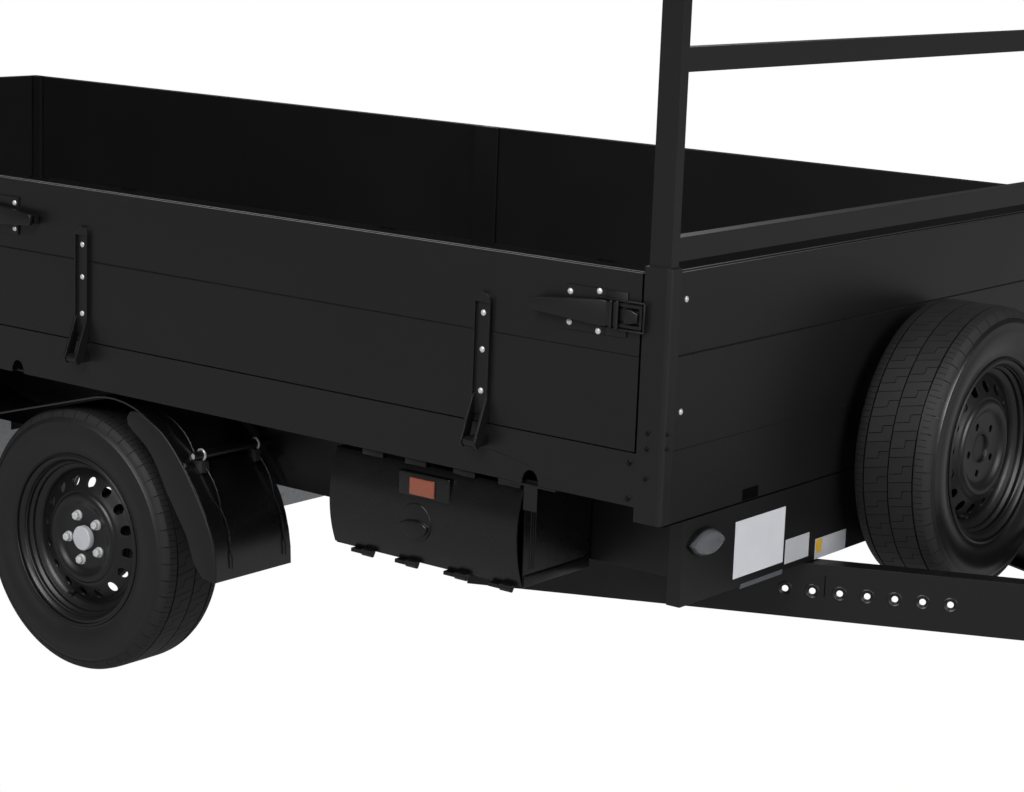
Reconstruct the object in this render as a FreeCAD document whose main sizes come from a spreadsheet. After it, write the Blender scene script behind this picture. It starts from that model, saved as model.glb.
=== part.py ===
import FreeCAD, Part
import math
import os

import Sketcher
from FreeCAD import Placement, Rotation, Vector

# A twin-axle dropside trailer, in millimetres.
# Sub-parts are drawn in bed coordinates: x is 0 on the front panel's outer face
# and points forward, y is 0 on the centre line and points left, z is 0 on the
# ground. Each sub-part's Placement then brings it to the row's own origin.

doc = FreeCAD.newDocument("DropsideTrailer")
sheet = doc.addObject("Spreadsheet::Sheet", "Sizes")

# Driving dimensions: alias, value, meaning.
DIMENSIONS = [
    ("bed_length", 4062, "load bed over the front panel and tailboard"),
    ("bed_width", 2042, "load bed over the side panels"),
    ("panel_thickness", 25, "dropside panel"),
    ("panel_top", 1163, "top edge of the panels above the ground"),
    ("rail_top", 811, "top of the floor's edge rail"),
    ("rail_height", 106, "depth of the floor's edge rail"),
    ("rail_wall", 4, "sheet of the edge rail"),
    ("rail_flange", 60, "top flange of the edge rail"),
    ("seam_gap", 3, "gap under a closed panel"),
    ("end_gap", 5, "gap between a panel's end and its post"),
    ("floor_thickness", 18, "floor board"),
    ("plank_seam", 1000, "height of the joint between two panel planks"),
    ("groove_depth", 2, "depth of the joint between two planks"),
    ("slot_width", 9, "slot along a panel's top edge"),
    ("slot_depth", 8, "depth of that slot"),
    ("post_front", 22, "corner post ahead of the front panel's face"),
    ("post_back", 39, "corner post behind the front panel's face"),
    ("post_depth", 37, "corner post across the trailer"),
    ("post_bottom", 676, "lower end of the posts"),
    ("post_top", 1178, "upper end of the front corner posts"),
    ("post_wall", 3, "wall of the posts"),
    ("post_radius", 9, "outer corner radius of the posts"),
    ("middle_post_width", 46, "outer face of a middle post"),
    ("middle_flange_width", 88, "inner flange of a middle post"),
    ("middle_flange", 5, "thickness of that flange"),
    ("front_panel_bottom", 666, "lower edge of the front panel"),
    ("rack_top", 1750, "upper end of the front rack"),
    ("rack_foot", 800, "lower end of the rack's uprights in the posts"),
    ("rack_length", 50, "rack tube along the trailer"),
    ("rack_width", 25, "rack tube across the trailer"),
    ("rack_low_bar", 1190, "underside of the rack's lower bar"),
    ("rack_high_bar", 1548, "underside of the rack's upper bar"),
    ("rack_bar_height", 46, "height of a rack bar"),
    ("rack_bar_depth", 30, "depth of a rack bar"),
    ("collar_height", 30, "guide collar on an upright inside its post"),
    ("seat_gap", 0.3, "clearance where one piece seats on another"),
    ("member_inset", 300, "chassis members inside the bed's side"),
    ("member_top", 700, "top of the chassis members"),
    ("member_bottom", 482, "underside of the chassis members"),
    ("member_wall", 4, "sheet of the chassis members"),
    ("member_flange", 60, "flange of the chassis members"),
    ("cross_width", 50, "width of a floor cross-member"),
    ("cross_wall", 3, "sheet of a floor cross-member"),
    ("end_plate_top", 662, "top of the front and rear end plates"),
    ("end_plate_bottom", 485, "bottom of the front and rear end plates"),
    ("end_plate_inset", 120, "ends of the end plates inside the bed's side"),
    ("end_plate_return", 32, "folded edge of the end plates"),
    ("tail_plate_inset", 52, "rear end plate ahead of the tailboard's face"),
    ("beam_height", 122, "drawbar beam"),
    ("beam_wall", 5, "sheet of a drawbar beam"),
    ("beam_flange", 46, "flange of a drawbar beam"),
    ("beam_angle", 24.3, "drawbar beam from the centre line, in degrees"),
    ("beam_offset", 413.4, "beam's outer face from the centre line at x 0"),
    ("beam_front", 790, "front end of the beams ahead of the front panel"),
    ("hole_radius", 9, "hole in a drawbar beam"),
    ("hole_pitch", 58.6, "between the holes of a drawbar beam"),
    ("hole_first", 40.4, "rearmost hole behind the front panel"),
    ("axle_spacing", 800, "between the two axles"),
    ("front_hub_back", 1666.6, "front hub behind the front panel"),
    ("wheel_inset", 127.5, "wheel's middle plane inside the bed's side"),
    ("tyre_radius", 317.5, "tyre"),
    ("tyre_width", 195, "tyre"),
    ("rim_radius", 203, "rim flange"),
    ("bead_radius", 190.5, "rim bead seat"),
    ("rim_width", 168, "rim over its flanges"),
    ("rim_lip", 7, "curled edge of the rim"),
    ("well_depth", 40, "rim's well below its flange"),
    ("well_slope", 34, "rim's slope between a bead seat and the well"),
    ("disc_offset", 53.5, "wheel disc outside the middle plane"),
    ("disc_sheet", 5, "sheet of the wheel disc"),
    ("nave_radius", 80, "flat middle of the wheel disc"),
    ("ridge_radius", 110, "raised ring round the disc's flat middle"),
    ("ridge_rise", 8, "raised ring above the disc's flat middle"),
    ("disc_dish", 20, "disc's edge behind its flat middle"),
    ("vent_circle", 138, "radius of the ring of vents"),
    ("vent_width", 17, "vent in the wheel disc"),
    ("vent_length", 22, "vent in the wheel disc"),
    ("hub_bore", 57, "centre hole of the wheel disc"),
    ("drum_radius", 115, "brake drum"),
    ("spindle_radius", 20, "wheel spindle"),
    ("spindle_play", 0.05, "radial play on the spindle"),
    ("axle_lead", 147, "axle tube ahead of its hub"),
    ("axle_height", 390, "centre of the axle tube"),
    ("axle_tube", 90, "square axle tube"),
    ("axle_wall", 6, "wall of the axle tube"),
    ("arm_inset", 232, "outer face of the trailing arms inside the bed's side"),
    ("arm_thickness", 30, "trailing arm"),
    ("arm_end", 34, "half height of a trailing arm at its spindle"),
    ("arm_root", 44, "half height of a trailing arm at the axle tube"),
    ("guard_width", 250, "mudguard"),
    ("guard_inset", 30, "mudguard's outer edge inside the bed's side"),
    ("guard_wall", 4, "mudguard"),
    ("stay_radius", 10, "mudguard stay"),
    ("stay_lead", 376.6, "mudguard stay ahead of the front hub"),
    ("stay_height", 583, "mudguard stay"),
    ("clamp_radius", 16, "ring clamp on a mudguard stay"),
    ("clamp_width", 20, "ring clamp on a mudguard stay"),
    ("box_rear", 860, "toolbox's rear end behind the front panel"),
    ("box_front", 350, "toolbox's front end behind the front panel"),
    ("box_inset", 50, "toolbox's face inside the bed's side"),
    ("box_depth", 245, "toolbox across the trailer"),
    ("box_bottom", 465, "toolbox"),
    ("box_top", 680, "toolbox"),
    ("box_wall", 4, "toolbox"),
    ("lid_depth", 14, "lid's edges behind the toolbox's face"),
    ("lid_bulge", 22, "crown of the toolbox's lid"),
    ("lid_gap", 1, "gap between the toolbox and its closed lid"),
    ("lid_lift", 9, "lower edge of the lid above its hinge pin"),
    ("lid_pin", 3.5, "radius of the lid's hinge pin"),
    ("lid_knuckle", 6, "radius of the lid's hinge knuckles"),
    ("knuckle_half", 30, "lug or ear of the lid's hinges, along the pin"),
    ("hanger_inset", 120, "toolbox hangers inside the bed's side"),
    ("hinge_reach", 30, "panel hinge pin outside the bed's side"),
    ("hinge_drop", 36, "panel hinge pin below the top of the edge rail"),
    ("pin_radius", 5, "panel hinge pin"),
    ("pin_play", 0.05, "radial play on a hinge pin"),
    ("ear_radius", 12, "hinge ear round its pin"),
    ("ear_thickness", 6, "hinge ear"),
    ("lug_gap", 1, "between an ear and the fixed lug"),
    ("strap_width", 42, "hinge strap"),
    ("strap_top", 1080.5, "top of a hinge strap"),
    ("strap_foot", 830, "lower end of a strap's web"),
    ("strap_depth", 9, "hinge strap over its ribs"),
    ("strap_web", 3, "web of a hinge strap"),
    ("strap_end", 424, "outer hinge strap from its bed end"),
    ("strap_inner", 424, "inner hinge strap from the middle post"),
    ("strap_rib", 4, "raised edge of a hinge strap"),
    ("lever_reach", 256, "tip of a latch lever from its post"),
    ("lever_tip", 9, "half height of a latch lever's tip"),
    ("lever_root", 93, "widest part of a latch lever from its post"),
    ("lever_half", 23, "half height of a latch lever's root"),
    ("latch_base", 4, "base plate of a latch"),
    ("latch_drum", 7, "radius of a latch lever's pivot"),
    ("loop_reach", 4, "latch loop past the end of its panel"),
    ("wire", 6, "wire of a latch loop"),
    ("latch_drop", 85, "middle of a latch below the panels' top edge"),
    ("spare_height", 700, "centre of the spare wheel"),
    ("spare_gap", 28, "spare tyre ahead of the front panel"),
    ("jockey_reach", 620, "jockey tube ahead of the front panel"),
    ("jockey_pivot", 340, "fold pivot of the lowered jockey wheel"),
    ("jockey_radius", 110, "jockey wheel"),
    ("jockey_width", 60, "jockey wheel"),
    ("jockey_lead", 6, "jockey wheel's axle ahead of its fold pivot"),
    ("jockey_tube", 30, "radius of the outer jockey tube"),
    ("jockey_inner", 24, "radius of the sliding jockey tube"),
    ("jockey_travel", 80, "lift of the jockey wheel on its screw"),
    ("jockey_play", 0.05, "radial play of the sliding jockey tube"),
    ("coupling_reach", 1390, "ball centre ahead of the front panel"),
    ("coupling_height", 445, "ball centre above the ground"),
    ("ball_radius", 25.2, "ball socket"),
    ("head_length", 90, "coupling head ahead of and behind the ball"),
    ("shaft_radius", 25, "coupling shaft"),
    ("overrun_front", 1010, "front face of the overrun housing"),
    ("overrun_rear", 660, "rear end of the overrun housing"),
    ("overrun_half", 52, "half width of the overrun housing"),
    ("lamp_height", 607, "front position lamps above the ground"),
    ("lamp_inset", 187, "front position lamps inside the bed's side"),
    ("lamp_width", 121, "front position lamp"),
    ("lamp_tall", 52, "front position lamp"),
]


class Size:
    """A length that keeps its formula over the sheet beside its present value."""

    def __init__(self, formula, value):
        self.formula = formula
        self.value = value

    def __add__(self, other):
        return combine(self, "+", other)

    def __radd__(self, other):
        return combine(other, "+", self)

    def __sub__(self, other):
        return combine(self, "-", other)

    def __rsub__(self, other):
        return combine(other, "-", self)

    def __mul__(self, other):
        return combine(self, "*", other)

    def __rmul__(self, other):
        return combine(other, "*", self)

    def __truediv__(self, other):
        return combine(self, "/", other)

    def __neg__(self):
        return combine(0, "-", self)


def size(number):
    """A Size as it is, or a plain number as a Size."""
    if isinstance(number, Size):
        return number
    return Size(repr(float(number)), float(number))


def combine(left, sign, right):
    left = size(left)
    right = size(right)
    value = {
        "+": lambda: left.value + right.value,
        "-": lambda: left.value - right.value,
        "*": lambda: left.value * right.value,
        "/": lambda: left.value / right.value,
    }[sign]()
    return Size(f"({left.formula} {sign} {right.formula})", value)


class Sheet:
    """The sheet's cells as attributes."""


s = Sheet()
for line, (alias, value, meaning) in enumerate(DIMENSIONS, start=1):
    sheet.set(f"A{line}", meaning)
    sheet.set(f"B{line}", str(value))
    sheet.setAlias(f"B{line}", alias)
    setattr(s, alias, Size(f"Sizes.{alias}", float(value)))
doc.recompute()

RIGHT = -1
LEFT = 1
# Round pieces have flats, few enough to keep the whole model light.
ROUND = 0
BAR_SIDES = 12
SMALL_SIDES = 8
WHEEL_SIDES = 20
# The nose round each hinge line is truly round over this angle, in degrees.
TIP_ANGLE = 60
TIP_HALF = math.sin(math.radians(TIP_ANGLE / 2))
TIP_REACH = math.cos(math.radians(TIP_ANGLE / 2))
AXES = {
    "x": (Vector(1, 0, 0), Rotation(Vector(0, 0, 1), Vector(1, 0, 0))),
    "y": (Vector(0, 1, 0), Rotation(Vector(0, 0, 1), Vector(0, 1, 0))),
    "z": (Vector(0, 0, 1), Rotation()),
}
# A sketch plane's turn: its u and v run along the two axes that name it.
PLANES = {
    "xy": Rotation(),
    "xz": Rotation(Vector(1, 0, 0), 90),
    "yz": Rotation(Vector(1, 1, 1), 120),
}
NORMALS = {"xy": Vector(0, 0, 1), "xz": Vector(0, 1, 0), "yz": Vector(1, 0, 0)}

nodes = []
# The bed coordinates that each object was placed at, by its name.
spots = {}


def bind(thing, name, amount):
    thing.setExpression(name, size(amount).formula)


def place(thing, x=0, y=0, z=0):
    spots[thing.Name] = (x, y, z)
    for letter, amount in (("x", x), ("y", y), ("z", z)):
        bind(thing, f".Placement.Base.{letter}", amount)


def span(ends):
    """The lower and the upper of two sizes."""
    return sorted((size(end) for end in ends), key=lambda end: end.value)


def block(x, y, z, label="Block"):
    """A box between two sizes on each axis."""
    box = doc.addObject("Part::Box", label)
    (x0, x1), (y0, y1), (z0, z1) = span(x), span(y), span(z)
    bind(box, "Length", x1 - x0)
    bind(box, "Width", y1 - y0)
    bind(box, "Height", z1 - z0)
    place(box, x0, y0, z0)
    return box


def rod(axis, radius, ends, across, sides=BAR_SIDES, label="Rod"):
    """A bar along an axis, with flats or truly round; across is its place on the other two."""
    if sides == ROUND:
        bar = doc.addObject("Part::Cylinder", label)
        bind(bar, "Radius", radius)
    else:
        bar = doc.addObject("Part::Prism", label)
        bar.Polygon = sides
        bind(bar, "Circumradius", radius)
    bar.Placement = Placement(Vector(), AXES[axis][1])
    return lay(bar, axis, ends, across)


def lay(bar, axis, ends, across):
    """Give a bar its length and its place; it is already turned along its axis."""
    low, high = span(ends)
    bind(bar, "Height", high - low)
    spot = dict(zip([letter for letter in "xyz" if letter != axis], across))
    spot[axis] = low
    place(bar, **spot)
    return bar


def round_tip(axis, radius, ends, across, toward, angle=TIP_ANGLE):
    """A wedge of a true cylinder, which rounds a nose that points toward."""
    wedge = doc.addObject("Part::Cylinder", "Tip")
    bind(wedge, "Radius", radius)
    wedge.Angle = angle
    line = AXES[axis][0]
    start = Rotation(line, -angle / 2).multVec(toward)
    wedge.Placement = Placement(Vector(), Rotation(start, line.cross(start), line, "ZXY"))
    return lay(wedge, axis, ends, across)


def bore(axis, radius, ends, across, sides=BAR_SIDES):
    """The hole for a bar with flats: its own flats just clear a round bar of the radius."""
    return rod(axis, radius / math.cos(math.pi / sides), ends, across, sides, "Bore")


def fuse(parts, label="Fusion"):
    joined = doc.addObject("Part::MultiFuse", label)
    joined.Shapes = parts
    joined.Refine = True
    return joined


def cut(base, tools, label="Cut"):
    remains = doc.addObject("Part::Cut", label)
    remains.Base = base
    remains.Tool = tools[0] if len(tools) == 1 else fuse(tools)
    return remains


def mirrored(part, label="Mirror"):
    """The same piece on the trailer's other side."""
    twin = doc.addObject("Part::Mirroring", label)
    twin.Source = part
    twin.Normal = Vector(0, 1, 0)
    return twin


def both_sides(part, label="Pair"):
    return fuse([part, mirrored(part)], label)


def draw(sketch, corners):
    """A closed outline whose corners are tied to the sheet."""
    count = len(corners)
    corners = [(size(u), size(v)) for u, v in corners]
    points = [Vector(u.value, v.value, 0) for u, v in corners]
    for i in range(count):
        sketch.addGeometry(Part.LineSegment(points[i], points[(i + 1) % count]))
    for i in range(count):
        sketch.addConstraint(Sketcher.Constraint("Coincident", i, 2, (i + 1) % count, 1))
    for i, corner in enumerate(corners):
        for kind, amount in zip(("DistanceX", "DistanceY"), corner):
            held = Sketcher.Constraint(kind, -1, 1, i, 1, amount.value)
            bind(sketch, f"Constraints[{sketch.addConstraint(held)}]", amount)


def prism(plane, corners, ends, label="Prism"):
    """A straight piece with a drawn section, from one end to the other."""
    low, high = span(ends)
    sketch = doc.addObject("Sketcher::SketchObject", label + "Section")
    draw(sketch, corners)
    sketch.Placement = Placement(Vector(), PLANES[plane])
    axis = {"xy": "z", "xz": "y", "yz": "x"}[plane]
    place(sketch, **{axis: low})
    piece = doc.addObject("Part::Extrusion", label)
    piece.Base = sketch
    piece.DirMode = "Custom"
    piece.Dir = NORMALS[plane]
    piece.Solid = True
    bind(piece, "LengthFwd", high - low)
    return piece


def turned(outline, sides=WHEEL_SIDES, label="Turned"):
    """An outline of radius and y turned round Y in flats; the radii reach the flats."""
    half_turn = math.pi / sides

    def corner(pair, k):
        radius = size(pair[0]).value / math.cos(half_turn)
        angle = (2 * k + 1) * half_turn
        return Vector(radius * math.sin(angle), size(pair[1]).value, -radius * math.cos(angle))

    faces = []
    for start, end in zip(outline, outline[1:] + outline[:1]):
        for k in range(sides):
            ring = [corner(start, k), corner(end, k), corner(end, k + 1), corner(start, k + 1)]
            facet = [point for i, point in enumerate(ring) if not point.isEqual(ring[i - 1], 1e-6)]
            if len(facet) > 2:
                faces.append(Part.Face(Part.makePolygon(facet + facet[:1])))
    solid = Part.makeSolid(Part.makeShell(faces))
    if solid.Volume < 0:
        solid.reverse()
    blank = doc.addObject("Part::Feature", label)
    blank.Shape = solid
    return blank


def hand_in(part, name, x=0, y=0, z=0):
    """Name a finished sub-part and bring it from bed coordinates to the row's."""
    part.Label = name
    at = spots.get(part.Name, (0, 0, 0))
    place(part, front_x + x + at[0], y + at[1], z + at[2])
    nodes.append(part)
    return part


def feature(name, shape):
    """A sub-part whose shape no feature above can make."""
    part = doc.addObject("Part::Feature", name)
    part.Shape = shape
    return hand_in(part, name)


# Places that several sub-parts share.
half_width = s.bed_width / 2
half_spread = half_width - s.member_inset
tail_x = -s.bed_length
post_length = s.post_front + s.post_back
# The rear posts stand flush with the tailboard, and the middle posts halfway.
rear_post_x = tail_x + post_length
middle_x = (rear_post_x - s.post_back) / 2
rail_bottom = s.rail_top - s.rail_height
panel_bottom = s.rail_top + s.seam_gap
hinge_y = half_width + s.hinge_reach
hinge_z = s.rail_top - s.hinge_drop
latch_z = s.panel_top - s.latch_drop
rear_hub_back = s.front_hub_back + s.axle_spacing
hubs = {"front": -s.front_hub_back, "rear": -rear_hub_back}
wheel_y = half_width - s.wheel_inset
beam_bottom = s.member_bottom - s.beam_height
coupling_front = s.coupling_reach + s.head_length
tail_reach = s.bed_length + s.hinge_reach + s.ear_radius
# The row's origin is under the middle of the whole trailer.
front_x = (tail_reach - coupling_front) / 2


# Floor: edge rails, cross-members and board

def ear_nose(pivot, out, radius):
    """The end of an ear round the pin, in three flats."""
    part = radius / 3
    return [
        (pivot + out * part, hinge_z + radius),
        (pivot + out * radius, hinge_z + part),
        (pivot + out * radius, hinge_z - part),
        (pivot + out * part, hinge_z - radius),
    ]


def hinge_lug(at, face, out, pivot, across):
    """A fixed lug, bored for the pin that lies along across."""
    half = s.strap_width / 2 - s.ear_thickness - s.lug_gap
    height = s.ear_radius - 2
    chord = pivot + out * height * TIP_REACH
    section = [
        (face, hinge_z + height),
        (pivot, hinge_z + height),
        (chord, hinge_z + height * TIP_HALF),
        (chord, hinge_z - height * TIP_HALF),
        (pivot, hinge_z - height),
        (face, hinge_z - height),
    ]
    plane, toward = ("yz", Vector(0, out, 0)) if across == "x" else ("xz", Vector(out, 0, 0))
    centre = (pivot, hinge_z)
    ends = (at - half, at + half)
    lug = fuse([prism(plane, section, ends), round_tip(across, height, ends, centre, toward)])
    hole_ends = (at - half - 1, at + half + 1)
    return cut(lug, [bore(across, s.pin_radius + s.pin_play, hole_ends, centre, SMALL_SIDES)])


# Hinge straps stand at the same places on both panels of a side.
strap_places = {
    "front": (-s.strap_end, middle_x + s.strap_inner),
    "rear": (middle_x - s.strap_inner, rear_post_x - s.post_back + s.strap_end),
}
tail_strap_y = half_width * 0.55


def edge_rail(side):
    """A folded rail: outer wall, top flange and a short lower return."""
    outer = side * half_width
    inner = side * (half_width - s.rail_flange)
    lip = side * (half_width - 24)
    web = side * (half_width - s.rail_wall)
    section = [
        (outer, rail_bottom),
        (outer, s.rail_top),
        (inner, s.rail_top),
        (inner, s.rail_top - s.rail_wall),
        (web, s.rail_top - s.rail_wall),
        (web, rail_bottom + s.rail_wall),
        (lip, rail_bottom + s.rail_wall),
        (lip, rail_bottom),
    ]
    rail = prism("yz", section, (rear_post_x, -s.post_back))
    lugs = []
    for places in strap_places.values():
        for x in places:
            lugs.append(hinge_lug(x, outer, side, side * hinge_y, "x"))
    return fuse([rail] + lugs)


hand_in(fuse([edge_rail(RIGHT), edge_rail(LEFT)]), "side_rails")

rear_section = [
    (tail_x, rail_bottom),
    (tail_x, s.rail_top),
    (rear_post_x, s.rail_top),
    (rear_post_x, s.rail_top - s.rail_wall),
    (tail_x + s.rail_wall, s.rail_top - s.rail_wall),
    (tail_x + s.rail_wall, rail_bottom + s.rail_wall),
    (tail_x + 24, rail_bottom + s.rail_wall),
    (tail_x + 24, rail_bottom),
]
post_inner = half_width - s.post_depth
rear_web = prism("xz", rear_section, (-post_inner, post_inner))
rear_lugs = []
for side in (RIGHT, LEFT):
    rear_lugs.append(hinge_lug(side * tail_strap_y, tail_x, -1, tail_x - s.hinge_reach, "y"))
hand_in(fuse([rear_web] + rear_lugs), "rear_rail")

floor_half = half_width - s.rail_flange
board_z = (s.rail_top - s.floor_thickness, s.rail_top)
board = block((rear_post_x, -s.panel_thickness), (-floor_half, floor_half), board_z)
hand_in(board, "floor_board")

CROSS_COUNT = 8
cross_top = s.rail_top - s.floor_thickness
cross_end = half_width - s.rail_wall


def floor_beam(x):
    """An open channel across the bed, on top of the chassis members."""
    back = x - s.cross_width / 2
    front = x + s.cross_width / 2
    section = [
        (back, s.member_top),
        (front, s.member_top),
        (front, s.member_top + s.cross_wall),
        (back + s.cross_wall, s.member_top + s.cross_wall),
        (back + s.cross_wall, cross_top - s.cross_wall),
        (front, cross_top - s.cross_wall),
        (front, cross_top),
        (back, cross_top),
    ]
    return prism("xz", section, (-cross_end + 21, cross_end - 21))


first_cross = -s.panel_thickness - s.cross_width
last_cross = rear_post_x + s.cross_width
step = (last_cross - first_cross) / (CROSS_COUNT - 1)
beams = [floor_beam(first_cross + step * i) for i in range(CROSS_COUNT)]
hand_in(fuse(beams), "floor_cross_members")


# Chassis: side members, end plates and drawbar beams

def channel(plane, outer, inner, low, high, wall, ends):
    """A channel open towards its inner side."""
    web = outer + wall if outer.value < inner.value else outer - wall
    section = [
        (outer, low),
        (outer, high),
        (inner, high),
        (inner, high - wall),
        (web, high - wall),
        (web, low + wall),
        (inner, low + wall),
        (inner, low),
    ]
    return prism(plane, section, ends)


member_inner = half_spread - s.member_flange
plate_sheet = s.member_wall
tail_plate_x = tail_x + s.tail_plate_inset
member = channel(
    "yz", -half_spread, -member_inner, s.member_bottom, s.member_top,
    s.member_wall, (tail_plate_x + plate_sheet, -plate_sheet),
)
# The members are notched where they pass under the front panel.
notch = block(
    (-s.panel_thickness - s.seat_gap, 0), (-half_spread - 1, -member_inner + 1),
    (s.front_panel_bottom - s.seat_gap, s.member_top + 1),
)
hand_in(both_sides(cut(member, [notch])), "side_members")


def end_plate(face, inward):
    """A folded plate across the members' ends, for the lamps."""
    back = face + inward * plate_sheet
    edge = face + inward * s.end_plate_return
    half = half_width - s.end_plate_inset
    low = s.end_plate_bottom
    high = s.end_plate_top
    pieces = [block((face, back), (-half, half), (low, high))]
    for side in (RIGHT, LEFT):
        ends = (side * half, side * (half - plate_sheet))
        pieces.append(block((face, edge), ends, (low, high)))
        flange = (side * half, side * (half_spread + 1))
        pieces.append(block((face, edge), flange, (high - plate_sheet, high)))
        pieces.append(block((face, edge), flange, (low, low + plate_sheet)))
    return fuse(pieces)


hand_in(end_plate(size(0), -1), "front_end_plate")
hand_in(end_plate(tail_plate_x, 1), "rear_end_plate")

BEAM_HOLES = 7
beam_turn = math.radians(s.beam_angle.value)
beam_slope = math.tan(beam_turn)


def beam_line(x, inset=0):
    """Distance of a beam from the centre line at x, inset square to its web."""
    return s.beam_offset - x * beam_slope - inset / math.cos(beam_turn)


# A beam ends where its outer face reaches the chassis member's.
beam_rear = (half_spread - s.beam_offset) / beam_slope


def drawbar_beam(side):
    """A channel that runs in to the coupling, with a row of holes in its web."""
    def plan(depth):
        return [
            (-beam_rear, side * beam_line(-beam_rear)),
            (s.beam_front, side * beam_line(s.beam_front)),
            (s.beam_front, side * beam_line(s.beam_front, depth)),
            (-beam_rear, side * beam_line(-beam_rear, depth)),
        ]

    inward = Vector(-math.sin(beam_turn), -side * math.cos(beam_turn), 0)
    holes = []
    for i in range(BEAM_HOLES):
        x = i * s.hole_pitch * math.cos(beam_turn) - s.hole_first
        hole = doc.addObject("Part::Prism", "BeamHole")
        hole.Polygon = SMALL_SIDES
        hole.Placement = Placement(Vector(), Rotation(Vector(0, 0, 1), inward))
        bind(hole, "Circumradius", s.hole_radius / math.cos(math.pi / SMALL_SIDES))
        bind(hole, "Height", 3 * s.beam_wall)
        y = side * beam_line(x) - inward.y * s.beam_wall
        place(hole, x - inward.x * s.beam_wall, y, beam_bottom + s.beam_height / 2)
        holes.append(hole)
    flanges = [
        prism("xy", plan(s.beam_flange), (beam_bottom, beam_bottom + s.beam_wall)),
        prism("xy", plan(s.beam_flange), (s.member_bottom - s.beam_wall, s.member_bottom)),
    ]
    web = prism("xy", plan(s.beam_wall), (beam_bottom, s.member_bottom))
    return cut(fuse([web] + flanges), holes)


hand_in(drawbar_beam(RIGHT), "drawbar_beam_right")
hand_in(drawbar_beam(LEFT), "drawbar_beam_left")


# Body: fixed panels, posts and the front rack

def plank_section(outer, inner, low, high):
    """A panel's section: a slot along its top edge and a groove at each plank joint."""
    out = 1 if outer.value > inner.value else -1
    middle = (outer + inner) / 2
    half_slot = s.slot_width / 2
    slot_floor = high - s.slot_depth
    groove = outer - out * s.groove_depth
    return [
        (outer, low),
        (outer, s.plank_seam - s.groove_depth),
        (groove, s.plank_seam),
        (outer, s.plank_seam + s.groove_depth),
        (outer, high),
        (middle + out * half_slot, high),
        (middle + out * half_slot, slot_floor),
        (middle - out * half_slot, slot_floor),
        (middle - out * half_slot, high),
        (inner, high),
        (inner, low),
    ]


front_section = plank_section(size(0), -s.panel_thickness, s.front_panel_bottom, s.panel_top)
hand_in(prism("xz", front_section, (-post_inner, post_inner)), "front_panel")


def rounded_bar(inside, outside, y, z, radius):
    """An upright bar with one corner rounded, at x outside and at y's lower end."""
    way = 1 if size(outside).value > size(inside).value else -1
    centre = outside - way * radius
    low, high = span(y)
    return fuse([
        block((inside, centre), y, z),
        block((inside, outside), (low + radius, high), z),
        rod("z", radius, z, (centre, low + radius), BAR_SIDES),
    ])


def corner_post(inside, outside, top):
    """A hollow upright at a corner of the bed, rounded at its outer corner."""
    way = 1 if size(outside).value > size(inside).value else -1
    wall = s.post_wall
    outer = rounded_bar(
        inside, outside, (-half_width, -post_inner), (s.post_bottom, top), s.post_radius
    )
    hollow = rounded_bar(
        inside + way * wall, outside - way * wall,
        (-half_width + wall, -post_inner - wall),
        (s.post_bottom - 1, top + 1), s.post_radius - wall,
    )
    return cut(outer, [hollow])


front_post = corner_post(-s.post_back, s.post_front, s.post_top)
rear_post = corner_post(rear_post_x, tail_x, s.panel_top)
hand_in(both_sides(fuse([front_post, rear_post])), "corner_posts")

flange_face = half_width - s.panel_thickness - 5
middle_web = block(
    (middle_x - s.middle_post_width / 2, middle_x + s.middle_post_width / 2),
    (-half_width, -flange_face),
    (s.rail_top, s.panel_top),
)
middle_flange = block(
    (middle_x - s.middle_flange_width / 2, middle_x + s.middle_flange_width / 2),
    (-flange_face, -flange_face + s.middle_flange),
    (s.rail_top, s.panel_top),
)
hand_in(both_sides(fuse([middle_web, middle_flange])), "middle_posts")

rack_back = (s.post_front - s.post_back) / 2 - s.rack_length / 2
rack_front = rack_back + s.rack_length
rack_outer = half_width - s.post_depth / 2 + s.rack_width / 2
rack_inner = rack_outer - s.rack_width
upright = block((rack_back, rack_front), (-rack_outer, -rack_inner), (s.rack_foot, s.rack_top))
collar_inset = s.post_wall + s.seat_gap


def rack_collar(low):
    """A sleeve that fills the gap between an upright and its post."""
    return rounded_bar(
        -s.post_back + collar_inset, s.post_front - collar_inset,
        (-half_width + collar_inset, -post_inner - collar_inset),
        (low, low + s.collar_height), s.post_radius - s.post_wall,
    )


collars = [rack_collar(s.rack_foot), rack_collar(s.post_top - s.collar_height)]
hand_in(both_sides(fuse([upright] + collars)), "rack_uprights")


def rack_bar(low):
    ends = (-rack_inner, rack_inner)
    return block((rack_front - s.rack_bar_depth, rack_front), ends, (low, low + s.rack_bar_height))


hand_in(fuse([rack_bar(s.rack_low_bar), rack_bar(s.rack_high_bar)]), "rack_crossbars")


# Dropside panels with their straps and latches

def spread(across, along, depth, z):
    """A block given by its run along a panel, its depth from the face and its height."""
    return block(along, depth, z) if across == "x" else block(depth, along, z)


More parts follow.
